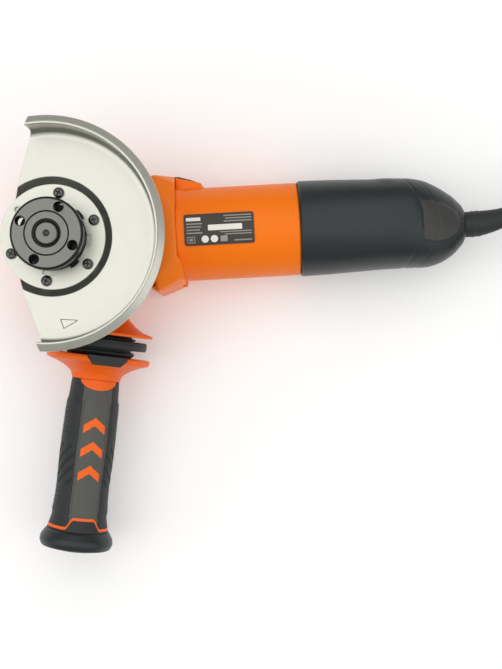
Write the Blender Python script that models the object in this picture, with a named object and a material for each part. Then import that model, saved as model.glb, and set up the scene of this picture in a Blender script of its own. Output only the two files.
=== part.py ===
"""An angle grinder for 125 mm discs, lying on its back with the spindle pointing up.

Run it with: blender --background --python part.py

Frame, in metres: the origin is where the spindle's axis meets the flat back that the tool lies on.
+Z runs along the spindle towards the disc, +X along the motor towards the cord, and the side handle
reaches out towards -Y. Lengths are written in millimetres and multiplied by MM.
"""

import math

import bmesh
import bpy
from mathutils import Matrix, Vector

MM = 0.001
GAP = 0.3 * MM  # what pieces that touch keep between them

# ---------------------------------------------------------------- driving dimensions
DISC_R = 62.5 * MM  # the abrasive disc that the guard is made for
MOTOR_Z = 34.0 * MM  # height of the motor's axis above the back
MOTOR_R = 30.0 * MM  # motor housing, outside
SPINDLE_R = 7.0 * MM  # M14 thread
SPINDLE_TOP = 92.8 * MM

# Bevel gears, with their common apex where the two axes cross.
PINION_TEETH = 10
CROWN_TEETH = 30
GEAR_MODULE = 1.55 * MM
GEAR_FACE = 7.0 * MM

# Gear case.
CASE_FRONT_R = 33.0 * MM
CASE_TOP = 60.0 * MM  # the face that the bearing flange is bolted to
CASE_FLANGE_X = 72.0 * MM  # joint with the motor housing
CASE_FLANGE_W = 38.0 * MM
CASE_FLANGE_TOP = 67.0 * MM

# Motor, housing and rear cover.
FIELD_R = 25.1 * MM
BRUSH_X = 148.0 * MM
HOUSING_END = 155.0 * MM
PLATE_START, PLATE_END = 82.0 * MM, 126.0 * MM  # rating plate
PLATE_HALF_ARC = 19.0  # degrees
TAIL_END = 266.0 * MM
COVER_WALL = 2.3 * MM

# Guard.
SHEET = 1.5 * MM
HUB_TOP = 67.5 * MM
HUB_R = 33.0 * MM
PLATE_TOP = 71.0 * MM
PLATE_START_R = 37.5 * MM
SKIRT_R = DISC_R + 4.0 * MM
RIM_TOP = 95.0 * MM
LIP_R = SKIRT_R + 5.4 * MM
GUARD_HOLE_R = 21.0 * MM
GUARD_NOTCHES = 24  # one every 15 degrees
COLLAR_R = 32.2 * MM
COLLAR_ROOT_R = 30.3 * MM
GUARD_SCREW_R = 27.8 * MM
GUARD_SCREW_ANGLE = 19.2  # degrees, of the first screw; one place of the six is left empty
EMPTY_SCREW_PLACE = 2

# Clamping nut and inner flange.
NUT_R = 22.3 * MM
NUT_TOP = 92.4 * MM
NUT_BOTTOM = 82.2 * MM
PIN_HOLE_CIRCLE_R = 17.5 * MM
PIN_HOLE_R = 2.9 * MM
PIN_HOLE_ANGLE = 62.0
FLANGE_R = 19.5 * MM

# Spindle lock.
LOCK_X = -12.0 * MM
LOCK_TRAVEL = 4.0 * MM
LOCK_HOLES = 6

# Side handle: its axis crosses the motor's axis and leans forward.
HANDLE_ROOT = Vector((34.0 * MM, 0.0, 34.3 * MM))
HANDLE_LEAN = math.radians(10.0)
BOSS_END = 44.0 * MM
HANDLE_FLANGE_R = 33.5 * MM
HANDLE_END = 203.0 * MM

# Cord.
CORD_D = 7.4 * MM
COIL_CENTRE = Vector((378.0 * MM, -70.0 * MM, 0.0))
COIL_R = 41.5 * MM  # middle of the turns
COIL_ROWS = 3  # turns side by side, and also one above the other
COIL_EDGE = COIL_R + COIL_ROWS / 2 * CORD_D


# ---------------------------------------------------------------- materials
def principled(name, colour, roughness, metallic=0.0):
    """A plain Principled material."""
    made = bpy.data.materials.new(name)
    made.use_nodes = True
    shader = made.node_tree.nodes["Principled BSDF"]
    shader.inputs["Base Color"].default_value = (*colour, 1.0)
    shader.inputs["Roughness"].default_value = roughness
    shader.inputs["Metallic"].default_value = metallic
    return made


def make_materials():
    """Every finish of the tool, by the name that the pieces use."""
    return {
        "orange_plastic": principled("orange_plastic", (0.90, 0.17, 0.005), 0.38),
        "orange_paint": principled("orange_paint", (0.88, 0.18, 0.008), 0.34),
        "orange_handle": principled("orange_handle", (0.86, 0.13, 0.015), 0.42),
        "black_plastic": principled("black_plastic", (0.022, 0.026, 0.028), 0.45),
        "rubber": principled("rubber", (0.030, 0.032, 0.034), 0.70),
        "plated_steel": principled("plated_steel", (0.78, 0.77, 0.71), 0.30, 1.0),
        "dark_steel": principled("dark_steel", (0.17, 0.175, 0.165), 0.45, 1.0),
        "bright_steel": principled("bright_steel", (0.62, 0.62, 0.62), 0.28, 1.0),
        "black_screw": principled("black_screw", (0.05, 0.05, 0.05), 0.40, 1.0),
        "die_cast": principled("die_cast", (0.56, 0.57, 0.58), 0.50, 1.0),
        "copper": principled("copper", (0.72, 0.32, 0.16), 0.40, 1.0),
        "brass": principled("brass", (0.78, 0.58, 0.25), 0.35, 1.0),
        "carbon": principled("carbon", (0.05, 0.05, 0.052), 0.65),
        "label": principled("label", (0.09, 0.09, 0.085), 0.50),
    }


# ---------------------------------------------------------------- modelling helpers
def empty(name, location=(0, 0, 0), rotation=(0, 0, 0), parent=None):
    """A named axis or centre that pieces are placed by."""
    made = bpy.data.objects.new(name, None)
    made.location = location
    made.rotation_euler = rotation
    made.parent = parent
    bpy.context.scene.collection.objects.link(made)
    return made


def finish(name, shape, material=None, parent=None, smooth=True):
    """Turns a bmesh into a named object with its faces pointing out."""
    bmesh.ops.recalc_face_normals(shape, faces=shape.faces)
    mesh = bpy.data.meshes.new(name)
    shape.to_mesh(mesh)
    shape.free()
    if smooth:
        mesh.shade_smooth()
        mesh.set_sharp_from_angle(angle=math.radians(35))
    made = bpy.data.objects.new(name, mesh)
    made.parent = parent
    bpy.context.scene.collection.objects.link(made)
    if material:
        mesh.materials.append(material)
    return made


def turned(profile, steps=24, closed=True):
    """A profile of (radius, height) points spun round the local Z axis. A closed profile makes a ring,
    and an open one starts and ends on the axis."""
    shape = bmesh.new()
    points = [shape.verts.new((r, 0.0, z)) for r, z in profile]
    edges = [shape.edges.new(pair) for pair in zip(points, points[1:])]
    if closed:
        edges.append(shape.edges.new((points[-1], points[0])))
    bmesh.ops.spin(shape, geom=points + edges, cent=(0, 0, 0), axis=(0, 0, 1),
                   angle=math.tau, steps=steps, use_merge=True)
    bmesh.ops.remove_doubles(shape, verts=shape.verts, dist=1e-6)
    return shape


def tube(inner, outer, low, high, steps=24, chamfer=0.0):
    """A turned ring with square or chamfered outer corners."""
    profile = [(inner, low), (outer - chamfer, low)]
    if chamfer:
        profile += [(outer, low + chamfer), (outer, high - chamfer)]
    else:
        profile += [(outer, low)]
    profile += [(outer - chamfer, high), (inner, high)]
    return turned(profile, steps)


def rod(radius, low, high, steps):
    """A plain cylinder along the local Z axis."""
    return turned([(0, low), (radius, low), (radius, high), (0, high)], steps, closed=False)


def block(low, high):
    """A box between two corners."""
    shape = bmesh.new()
    low, high = Vector(low), Vector(high)
    bmesh.ops.create_cube(shape, size=1.0)
    bmesh.ops.scale(shape, vec=high - low, verts=shape.verts)
    bmesh.ops.translate(shape, vec=(low + high) / 2, verts=shape.verts)
    return shape


def prism(outline, low, high):
    """A flat outline of (x, y) points, extruded from one height to another."""
    shape = bmesh.new()
    face = shape.faces.new([shape.verts.new((x, y, low)) for x, y in outline])
    made = bmesh.ops.extrude_face_region(shape, geom=[face])
    lifted = [v for v in made["geom"] if isinstance(v, bmesh.types.BMVert)]
    bmesh.ops.translate(shape, vec=(0, 0, high - low), verts=lifted)
    return shape


def hull_of(points):
    """The convex hull of some points."""
    shape = bmesh.new()
    verts = [shape.verts.new(p) for p in points]
    found = bmesh.ops.convex_hull(shape, input=verts)
    inside = set(found["geom_interior"] + found["geom_unused"])
    bmesh.ops.delete(shape, geom=[v for v in inside if isinstance(v, bmesh.types.BMVert)], context="VERTS")
    return shape


def loft(rings, ring_shaped=True):
    """Quads between rings of points. The last ring joins the first, or both ends get a cap."""
    shape = bmesh.new()
    rows = [[shape.verts.new(p) for p in ring] for ring in rings]
    count = len(rows[0])
    pairs = list(zip(rows, rows[1:]))
    if ring_shaped:
        pairs.append((rows[-1], rows[0]))
    else:
        shape.faces.new(rows[0])
        shape.faces.new(rows[-1])
    for near, far in pairs:
        for i in range(count):
            j = (i + 1) % count
            shape.faces.new((near[i], near[j], far[j], far[i]))
    return shape


def section(x, half_width, low, high, power, count):
    """One ring of a body along X: a superellipse between two heights, split at the motor's axis. A
    power of 2 is an ellipse, and a higher one is squarer."""
    ring = []
    for i in range(count):
        a = math.tau * i / count
        c, s = math.cos(a), math.sin(a)
        y = half_width * math.copysign(abs(c) ** (2 / power), c)
        height = (high - MOTOR_Z) if s > 0 else (MOTOR_Z - low)
        z = MOTOR_Z + height * math.copysign(abs(s) ** (2 / power), s)
        ring.append((x, y, z))
    return ring


def circle(x, radius, count):
    """One round ring about the motor's axis."""
    return section(x, radius, MOTOR_Z - radius, MOTOR_Z + radius, 2, count)


def helper(name, shape, parent=None):
    """A cutter or a piece to be joined: it shows in no render."""
    made = finish(name, shape, parent=parent, smooth=False)
    made.hide_render = True
    made.display_type = "WIRE"
    return made


def boolean(target, other, operation):
    """Cuts the other object out of the target, or joins it on."""
    modifier = target.modifiers.new(other.name, "BOOLEAN")
    modifier.operation = operation
    modifier.object = other
    modifier.solver = "EXACT"


def cut(target, *others):
    for other in others:
        boolean(target, other, "DIFFERENCE")


def join(target, *others):
    for other in others:
        boolean(target, other, "UNION")


def polar(radius, degrees, z=0.0):
    a = math.radians(degrees)
    return Vector((radius * math.cos(a), radius * math.sin(a), z))


def smooth_path(points, step):
    """Points about a step apart on a Catmull-Rom curve through the given ones."""
    ends = [points[0] * 2 - points[1], *points, points[-1] * 2 - points[-2]]
    path = []
    for a, b, c, d in zip(ends, ends[1:], ends[2:], ends[3:]):
        parts = max(1, round((c - b).length / step))
        for i in range(parts):
            t = i / parts
            path.append(0.5 * (2 * b + (c - a) * t + (2 * a - 5 * b + 4 * c - d) * t * t
                               + (3 * b - a - 3 * c + d) * t ** 3))
    return path + [points[-1]]


def rings_along(path, radii, count):
    """Round rings across a path, one for each of its points, each with its own radius."""
    rings = []
    side = Vector((0, 0, 1))
    for i, (point, radius) in enumerate(zip(path, radii)):
        forward = (path[min(i + 1, len(path) - 1)] - path[max(i - 1, 0)]).normalized()
        across = forward.cross(side).normalized()
        up = across.cross(forward)
        rings.append([point + radius * (math.cos(math.tau * k / count) * across
                                        + math.sin(math.tau * k / count) * up)
                      for k in range(count)])
    return rings


# ---------------------------------------------------------------- gears
def bevel_gear(teeth, mate_teeth, back, front, phase):
    """A straight bevel gear on the local Z axis with its apex at the origin.

    Each tooth has four points in a ring, at the root and the tip of both flanks, and the rings at the
    outer and the inner end of the teeth are the same shape, scaled towards the apex."""
    pitch_r = GEAR_MODULE * teeth / 2
    mate_r = GEAR_MODULE * mate_teeth / 2
    cone = math.hypot(pitch_r, mate_r)
    sine, cosine = pitch_r / cone, mate_r / cone
    addendum, dedendum = 0.75 * GEAR_MODULE, 1.15 * GEAR_MODULE
    pitch = math.tau / teeth
    root_half, tip_half = 0.30 * pitch, 0.12 * pitch
    corners = ((-root_half, -dedendum), (-tip_half, addendum), (tip_half, addendum), (root_half, -dedendum))

    def tooth_ring(share):
        ring = []
        for tooth in range(teeth):
            for turn, height in corners:
                a = phase + tooth * pitch + turn
                r = share * (pitch_r + height * cosine)
                z = share * (mate_r - height * sine)
                ring.append((r * math.cos(a), r * math.sin(a), z))
        return ring

    def plain_ring(radius, z):
        return [(radius * math.cos(phase + tooth * pitch + turn),
                 radius * math.sin(phase + tooth * pitch + turn), z)
                for tooth in range(teeth) for turn, _ in corners]

    inner_share = (cone - GEAR_FACE) / cone
    inner_root = inner_share * (pitch_r - dedendum * cosine)
    outer_root = pitch_r - dedendum * cosine
    return loft([
        plain_ring(outer_root, back),
        tooth_ring(1.0),
        tooth_ring(inner_share),
        plain_ring(inner_root - 0.4 * MM, front),
    ], ring_shaped=False)


def star(teeth, root, tip, root_share, tip_share):
    """The outline of a slotted or bladed wheel."""
    outline = []
    pitch = 360 / teeth
    for tooth in range(teeth):
        for share, radius in ((-root_share, root), (-tip_share, tip), (tip_share, tip), (root_share, root)):
            outline.append(polar(radius, (tooth + share / 2) * pitch)[:2])
    return outline


# ---------------------------------------------------------------- gear case
def case_points():
    """Corner points of the gear case's front body and of its rear flange."""
    body = []
    for i in range(20):
        degrees = 360 * i / 20
        body.append(polar(CASE_FRONT_R - 6 * MM, degrees, 0.0))
        body.append(polar(CASE_FRONT_R, degrees, 9 * MM))
        body.append(polar(CASE_FRONT_R, degrees, CASE_TOP - 1.5 * MM))
        body.append(polar(CASE_FRONT_R - 1.5 * MM, degrees, CASE_TOP))
    neck = section(54 * MM, 31 * MM, 0.0, CASE_TOP, 6, 24)
    shoulder = section(64 * MM, CASE_FLANGE_W, 0.0, CASE_FLANGE_TOP, 5, 24)
    rear = section(CASE_FLANGE_X, CASE_FLANGE_W, 0.0, CASE_FLANGE_TOP, 5, 24)
    return body + neck, neck + shoulder + rear


def handle_matrix(side):
    """Places the local Z axis along a handle socket's axis, on the -Y or the +Y side."""
    out = Vector((-math.sin(HANDLE_LEAN), side * math.cos(HANDLE_LEAN), 0.0))
    return Matrix.Translation(HANDLE_ROOT) @ out.to_track_quat("Z", "X").to_matrix().to_4x4()


def placed(obj, matrix):
    """Puts an object where a matrix says, by its location and rotation."""
    obj.location = matrix.to_translation()
    obj.rotation_euler = matrix.to_euler()
    return obj


def make_gear_case(look, motor_axis):
    body_points, flare_points = case_points()
    case = finish("gear_case", hull_of(body_points), look["orange_paint"])
    join(case, helper("case_flare", hull_of(flare_points)))
    for side, label in ((-1, "left"), (1, "right")):
        boss = turned([(0, 22 * MM), (16.5 * MM, 22 * MM), (16.5 * MM, 36 * MM), (15 * MM, BOSS_END),
                       (0, BOSS_END)], 24, closed=False)
        join(case, placed(helper(f"handle_boss_{label}", boss), handle_matrix(side)))
    cut(case,
        helper("gear_chamber", rod(28 * MM, 21 * MM, 75 * MM, 32)),
        helper("pinion_bore", rod(13.3 * MM, 10 * MM, 50 * MM, 24), motor_axis),
        helper("fan_chamber", turned([(0, 46 * MM), (19 * MM, 46 * MM), (31.3 * MM, 66 * MM),
                                      (31.3 * MM, 80 * MM), (0, 80 * MM)], 32, closed=False), motor_axis),
        helper("bush_seat", rod(7.3 * MM, 14.2 * MM, 23 * MM, 18)),
        helper("slider_clearance", block((66.6 * MM, 32.2 * MM, 18.2 * MM), (80 * MM, 45 * MM, 34.8 * MM))))
    for side, label in ((-1, "left"), (1, "right")):
        low, high = sorted((side * 22 * MM, side * 50 * MM))
        slots = [block((57 * MM, low, z * MM), (62 * MM, high, (z + 5) * MM)) for z in (20.4, 30.4, 40.4)]
        for number, slot in enumerate(slots):
            cut(case, helper(f"exhaust_slot_{label}_{number}", slot))
    recess = helper("button_recess", rod(9 * MM, -2 * MM, 12 * MM, 24))
    pin_bore = helper("lock_pin_bore", rod(2.6 * MM, 10 * MM, 23 * MM, 12))
    recess.location.x = pin_bore.location.x = LOCK_X
    cut(case, recess, pin_bore)
    for side, label in ((-1, "left"), (1, "right")):
        socket = rod(4.3 * MM, 25 * MM, 60 * MM, 16)
        cut(case, placed(helper(f"handle_thread_{label}", socket), handle_matrix(side)))
    lever_hole = helper("lever_pin_hole", rod(1.8 * MM, 50 * MM, 80 * MM, 12))
    lever_hole.location = LEVER_PIVOT
    cut(case, lever_hole)
    return case


CASE_SCREW_Y = 29.5 * MM
CASE_SCREW_Z = 22.5 * MM  # above and below the motor's axis
CASE_SCREW_SEAT = 65.0 * MM


def make_case_screws(look, case, housing):
    """Four screws clamp the gear case's corners to the motor housing, with their heads in pockets."""
    corners = [(side, rise) for rise in (-1, 1) for side in (-1, 1)]
    for number, (side, rise) in enumerate(corners, 1):
        place = (0, side * CASE_SCREW_Y, MOTOR_Z + rise * CASE_SCREW_Z)
        axis = empty(f"case_screw_axis_{number}", place, (0, math.pi / 2, 0))
        pocket = helper(f"screw_pocket_{number}", rod(4.4 * MM, 40 * MM, CASE_SCREW_SEAT, 16), axis)
        hole = helper(f"screw_hole_{number}", rod(2.3 * MM, 60 * MM, 80.5 * MM, 10), axis)
        cut(case, pocket, hole)
        cut(housing, hole)
        seat = CASE_SCREW_SEAT - GAP
        screw = turned([(0, seat - 3 * MM), (3.2 * MM, seat - 3 * MM), (3.8 * MM, seat - 2.2 * MM),
                        (3.8 * MM, seat), (2 * MM, seat), (2 * MM, 79.5 * MM), (0, 80 * MM)], 12, closed=False)
        finish(f"gear_case_screw_{number}", screw, look["black_screw"], axis)


# ---------------------------------------------------------------- spindle and its bearings
def make_spindle_group(look, spindle_axis, apex):
    spindle = turned([
        (0, 14.6 * MM), (3.6 * MM, 14.6 * MM), (4 * MM, 15 * MM), (4 * MM, 21.2 * MM), (6 * MM, 22 * MM),
        (6 * MM, 61.5 * MM), (9 * MM, 61.5 * MM), (9 * MM, 72 * MM), (SPINDLE_R, 72 * MM),
        (SPINDLE_R, SPINDLE_TOP - 1 * MM), (SPINDLE_R - 0.9 * MM, SPINDLE_TOP), (2 * MM, SPINDLE_TOP),
        (1.2 * MM, SPINDLE_TOP - 1.5 * MM), (0, SPINDLE_TOP - 2.2 * MM)], 24, closed=False)
    finish("spindle", spindle, look["bright_steel"], spindle_axis)

    gap_at_mesh = math.pi / CROWN_TEETH
    crown = finish("crown_gear", bevel_gear(CROWN_TEETH, PINION_TEETH, 14 * MM, 9 * MM, gap_at_mesh),
                   look["bright_steel"], apex)
    cut(crown, helper("crown_bore", rod(6.3 * MM, 0, 30 * MM, 24), apex))
    for i in range(LOCK_HOLES):
        hole = helper(f"lock_hole_{i}", rod(2.6 * MM, -5 * MM, 25 * MM, 12), apex)
        hole.location = polar(-LOCK_X, 360 * i / LOCK_HOLES)
        cut(crown, hole)

    flange = finish("inner_flange", turned([
        (7.3 * MM, 72.4 * MM), (17 * MM, 72.4 * MM), (FLANGE_R, 74 * MM), (FLANGE_R, 79 * MM),
        (14 * MM, 79 * MM), (14 * MM, 78 * MM), (11 * MM, 78 * MM), (11 * MM, 81.6 * MM),
        (7.3 * MM, 81.6 * MM)], 28), look["dark_steel"], spindle_axis)
    for side in (-1, 1):
        flat = block((side * 17.5 * MM - 5 * MM, -30 * MM, 70 * MM), (side * 17.5 * MM + 5 * MM, 30 * MM, 76 * MM))
        cutter = helper(f"flange_flat_{side + 1}", flat, spindle_axis)
        cutter.location.x = side * 5 * MM
        cut(flange, cutter)

    nut = finish("clamping_nut", turned([
        (7.3 * MM, NUT_BOTTOM), (19 * MM, NUT_BOTTOM), (NUT_R, NUT_BOTTOM + 2.5 * MM),
        (NUT_R, NUT_TOP - 1.4 * MM), (NUT_R - 1.4 * MM, NUT_TOP), (8.6 * MM, NUT_TOP),
        (7.3 * MM, NUT_TOP - 1.4 * MM)], 30), look["dark_steel"], spindle_axis)
    for i in range(4):
        hole = helper(f"pin_hole_{i}", rod(PIN_HOLE_R, 70 * MM, 100 * MM, 14), spindle_axis)
        hole.location = polar(PIN_HOLE_CIRCLE_R, PIN_HOLE_ANGLE + 90 * i)
        cut(nut, hole)


def ball_bearing(name, bore, outer, low, high, parent, look, steps=16):
    """A sealed ball bearing as one ring, with its shield a little deeper than its two races."""
    third = (outer - bore) / 3
    depth = 0.5 * MM
    finish(name, turned([
        (bore, low), (outer, low), (outer, high), (outer - third, high), (outer - third, high - depth),
        (bore + third, high - depth), (bore + third, high), (bore, high)], steps), look["bright_steel"], parent)


def make_bearing_flange(look):
    """The cover that closes the gear case, holds the spindle's bearing and carries the guard."""
    flange = finish("bearing_flange", turned([
        (16.2 * MM, 49.8 * MM), (20 * MM, 49.8 * MM), (20 * MM, 54 * MM), (27.6 * MM, 54 * MM),
        (27.6 * MM, CASE_TOP + GAP), (32 * MM, CASE_TOP + GAP), (32 * MM, 62.6 * MM), (20.4 * MM, 62.6 * MM),
        (20.4 * MM, 70 * MM), (19.4 * MM, 71 * MM), (9.6 * MM, 71 * MM), (9.6 * MM, 60.6 * MM),
        (16.2 * MM, 60.6 * MM)], 28), look["die_cast"])
    for i in range(4):
        lug = [polar(r, 36 + 90 * i + turn)[:2]
               for r, turn in ((18 * MM, -9), (23 * MM, -8), (23.2 * MM, 0), (23 * MM, 8), (18 * MM, 9))]
        join(flange, helper(f"guard_lug_{i}", prism(lug, HUB_TOP + 0.4 * MM, HUB_TOP + 2.4 * MM)))
    return flange


# ---------------------------------------------------------------- guard
def guard_opening():
    """The side that the guard leaves open: everything in front of two slanting cuts, round the hub."""
    far = 130 * MM
    upper_end = math.degrees(math.atan2(24.6, -22.0))
    arc = [polar(HUB_R, upper_end + (360 - 2 * upper_end) * i / 20)[:2] for i in range(21)]
    return [(-5 * MM, 80 * MM), *arc, (-5 * MM, -80 * MM), (-far, -80 * MM), (-far, 80 * MM)]


def make_guard(look, guard_axis):
    lip_low = RIM_TOP - 3.0 * MM
    profile = [
        (GUARD_HOLE_R, HUB_TOP), (HUB_R, HUB_TOP), (PLATE_START_R, PLATE_TOP), (SKIRT_R - 2.6 * MM, PLATE_TOP),
        (SKIRT_R, PLATE_TOP + 2.6 * MM), (SKIRT_R, RIM_TOP - 1 * MM), (SKIRT_R + 1 * MM, RIM_TOP),
        (LIP_R - 1 * MM, RIM_TOP), (LIP_R, RIM_TOP - 1 * MM), (LIP_R, lip_low), (SKIRT_R + SHEET, lip_low),
        (SKIRT_R + SHEET, PLATE_TOP + 1.6 * MM), (SKIRT_R - 2.0 * MM, PLATE_TOP - SHEET),
        (PLATE_START_R + 0.6 * MM, PLATE_TOP - SHEET), (HUB_R + 0.6 * MM, HUB_TOP - SHEET),
        (GUARD_HOLE_R, HUB_TOP - SHEET)]
    shell = finish("guard_shell", turned(profile, 48), look["plated_steel"], guard_axis)
    cut(shell, helper("guard_mouth", prism(guard_opening(), 50 * MM, 110 * MM), guard_axis))
    for i in range(4):
        notch = [polar(r, 81 + 90 * i + turn)[:2]
                 for r, turn in ((19 * MM, -11), (24 * MM, -10), (24.2 * MM, 0), (24 * MM, 10), (19 * MM, 11))]
        cut(shell, helper(f"lug_notch_{i}", prism(notch, 60 * MM, 75 * MM), guard_axis))
    for i in range(6):
        hole = helper(f"guard_hole_{i}", rod(1.8 * MM, 50 * MM, 80 * MM, 10), guard_axis)
        hole.location = polar(GUARD_SCREW_R, GUARD_SCREW_ANGLE + 60 * i)
        cut(shell, hole)

    notches = star(GUARD_NOTCHES, COLLAR_ROOT_R, COLLAR_R, 0.62, 0.46)
    bottom, top = 63.0 * MM, HUB_TOP - SHEET - GAP
    collar = finish("guard_collar", prism(notches, bottom, top), look["plated_steel"], guard_axis)
    cut(collar, helper("collar_bore", rod(GUARD_HOLE_R, 55 * MM, 75 * MM, 28), guard_axis))

    places = [i for i in range(6) if i != EMPTY_SCREW_PLACE]
    for number, i in enumerate(places, 1):
        hole = helper(f"collar_hole_{i}", rod(1.8 * MM, 50 * MM, 80 * MM, 10), guard_axis)
        hole.location = polar(GUARD_SCREW_R, GUARD_SCREW_ANGLE + 60 * i)
        cut(collar, hole)
        seat = HUB_TOP + GAP
        screw = finish(f"guard_screw_{number}", turned([
            (0, bottom + 0.2 * MM), (1.5 * MM, bottom + 0.2 * MM), (1.5 * MM, seat), (3.4 * MM, seat),
            (3.4 * MM, seat + 1.3 * MM), (2.2 * MM, seat + 2.3 * MM), (0, seat + 2.3 * MM)], 10, closed=False),
            look["black_screw"], guard_axis)
        screw.location = polar(GUARD_SCREW_R, GUARD_SCREW_ANGLE + 60 * i)


# ---------------------------------------------------------------- guard latch
PAWL_ANGLE = 52.5  # degrees; half a notch pitch from a tooth of the collar
PAWL_TIP_R = 30.8 * MM
LEVER_ARM = 13.0 * MM
LEVER_LOW, LEVER_HIGH = 63.2 * MM, 65.6 * MM
PAWL_OUT = polar(1.0, PAWL_ANGLE)
PAWL_ALONG = polar(1.0, PAWL_ANGLE - 90)
LEVER_PIVOT = polar(PAWL_TIP_R + 6.2 * MM, PAWL_ANGLE) + PAWL_ALONG * LEVER_ARM


def coil_spring(radius, wire, low, high, turns, per_turn=10):
    """A wire wound round the local Z axis."""
    count = round(turns * per_turn)
    helix = [polar(radius, 360 * i / per_turn, low + (high - low) * i / count) for i in range(count + 1)]
    return loft(rings_along(helix, [wire] * len(helix), 5), ring_shaped=False)


def make_latch(look):
    """A pawl behind the guard's collar. Pressing its finger tab lifts the pawl out of its notch."""
    pivot = empty("latch_axis", LEVER_PIVOT)
    arm = [(-14.2, -6.2), (-11.8, -6.2), (-10.4, -3.4), (-4.2, -2.6), (-1.5, -4.2), (3.0, -3.4), (4.4, 0.6),
           (5.2, 14.0), (0.4, 18.6), (-3.8, 17.6), (-1.2, 4.4), (-5.0, 1.6), (-13.6, -1.6)]
    outline = [(PAWL_ALONG * x + PAWL_OUT * y) * MM for x, y in arm]
    lever = finish("guard_lever", prism([p[:2] for p in outline], LEVER_LOW, LEVER_HIGH),
                   look["black_plastic"], pivot)
    cut(lever, helper("lever_bore", rod(1.9 * MM, 50 * MM, 80 * MM, 14), pivot))
    finish("lever_pin", turned([
        (0, 52 * MM), (1.5 * MM, 52 * MM), (1.5 * MM, 65.9 * MM), (2.8 * MM, 65.9 * MM), (2.8 * MM, 66.9 * MM),
        (0, 67.1 * MM)], 12, closed=False), look["bright_steel"], pivot)
    finish("lever_spring", coil_spring(2.5 * MM, 0.32 * MM, 61.0 * MM, 62.3 * MM, 1.6), look["bright_steel"], pivot)


# ---------------------------------------------------------------- spindle lock
def make_spindle_lock(look):
    lock_axis = empty("lock_axis", (LOCK_X, 0, 0))
    finish("lock_button", turned([
        (0, 1.2 * MM), (7.6 * MM, 1.0 * MM), (8.6 * MM, 2.0 * MM), (8.6 * MM, 7.4 * MM), (6.8 * MM, 7.4 * MM),
        (6.8 * MM, 4.0 * MM), (2.6 * MM, 4.0 * MM), (2.6 * MM, 5.6 * MM), (0, 5.6 * MM)], 24, closed=False),
        look["black_plastic"], lock_axis)
    finish("lock_pin", turned([
        (0, 5.9 * MM), (2.2 * MM, 5.9 * MM), (2.2 * MM, 40.4 * MM), (1.6 * MM, 41.2 * MM), (0, 41.2 * MM)],
        12, closed=False), look["bright_steel"], lock_axis)
    finish("lock_spring", coil_spring(4.7 * MM, 0.4 * MM, 4.9 * MM, 11.1 * MM, 3.2), look["bright_steel"], lock_axis)


# ---------------------------------------------------------------- motor
def make_motor(look, motor_axis, armature_axis):
    tooth_at_mesh = math.pi  # local -X of the armature's axis is the world's +Z
    pinion = finish("pinion_gear", bevel_gear(PINION_TEETH, CROWN_TEETH, 27.6 * MM, 15.8 * MM, tooth_at_mesh),
                    look["bright_steel"], armature_axis)
    cut(pinion, helper("pinion_hole", rod(3.2 * MM, 0, 40 * MM, 16), armature_axis))
    finish("armature_shaft", turned([
        (0, 14.8 * MM), (2.4 * MM, 14.8 * MM), (2.9 * MM, 15.3 * MM), (2.9 * MM, 28.0 * MM), (5 * MM, 28.6 * MM),
        (5 * MM, 78 * MM), (4.4 * MM, 78 * MM), (4.4 * MM, 161 * MM), (4 * MM, 161 * MM), (4 * MM, 174 * MM),
        (0, 174 * MM)], 18, closed=False), look["bright_steel"], armature_axis)

    fan = finish("cooling_fan", prism(star(12, 12 * MM, 27 * MM, 0.30, 0.10), 65.5 * MM, 75 * MM),
                 look["black_plastic"], armature_axis)
    join(fan, helper("fan_disc", rod(28.5 * MM, 74 * MM, 76 * MM, 28), armature_axis))
    cut(fan, helper("fan_bore", rod(5.3 * MM, 60 * MM, 80 * MM, 18), armature_axis))

    core = finish("armature_core", prism(star(12, 12.5 * MM, 17.4 * MM, 0.62, 0.86), 92 * MM, 134 * MM),
                  look["dark_steel"], armature_axis)
    cut(core, helper("core_bore", rod(4.7 * MM, 80 * MM, 140 * MM, 18), armature_axis))
    finish("commutator", tube(4.7 * MM, 11 * MM, 141 * MM, 156 * MM, 20), look["copper"], armature_axis)

    ball_bearing("front_bearing", 5.3 * MM, 13 * MM, 34.5 * MM, 42.5 * MM, motor_axis, look)
    ball_bearing("rear_bearing", 4.3 * MM, 11 * MM, 165 * MM, 172 * MM, motor_axis, look)
    baffle = finish("air_baffle", turned([
        (24.5 * MM, 77.5 * MM), (29.6 * MM, 77.5 * MM), (29.3 * MM, 79.5 * MM), (27 * MM, 79.5 * MM),
        (27 * MM, 83 * MM), (24.5 * MM, 83 * MM)], 28), look["black_plastic"], motor_axis)
    cut(baffle, helper("rod_notch", block((70 * MM, 20 * MM, 30.2 * MM), (90 * MM, 40 * MM, 37 * MM))))

    steps, pole_half_angle = 40, 50
    outer, inner = [], []
    for i in range(steps):
        degrees = 360 * i / steps
        from_pole = min(degrees % 180, 180 - degrees % 180)
        outer.append(polar(FIELD_R, degrees))
        inner.append(polar((18.4 if from_pole < pole_half_angle else 23.4) * MM, degrees))
    low, high = Vector((0, 0, 92 * MM)), Vector((0, 0, 134 * MM))
    finish("field_core", loft([[p + low for p in outer], [p + high for p in outer],
                               [p + high for p in inner], [p + low for p in inner]]),
           look["dark_steel"], motor_axis)
    for side, label in ((90, "right"), (270, "left")):
        arc = [side - 29 + 58 * i / 8 for i in range(9)]
        outline = [polar(22.7 * MM, a)[:2] for a in arc] + [polar(18.7 * MM, a)[:2] for a in reversed(arc)]
        finish(f"field_coil_{label}", prism(outline, 86 * MM, 139 * MM), look["copper"], motor_axis)

    for side, label in ((1, "upper"), (-1, "lower")):
        finish_brush(side, label, look)


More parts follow.
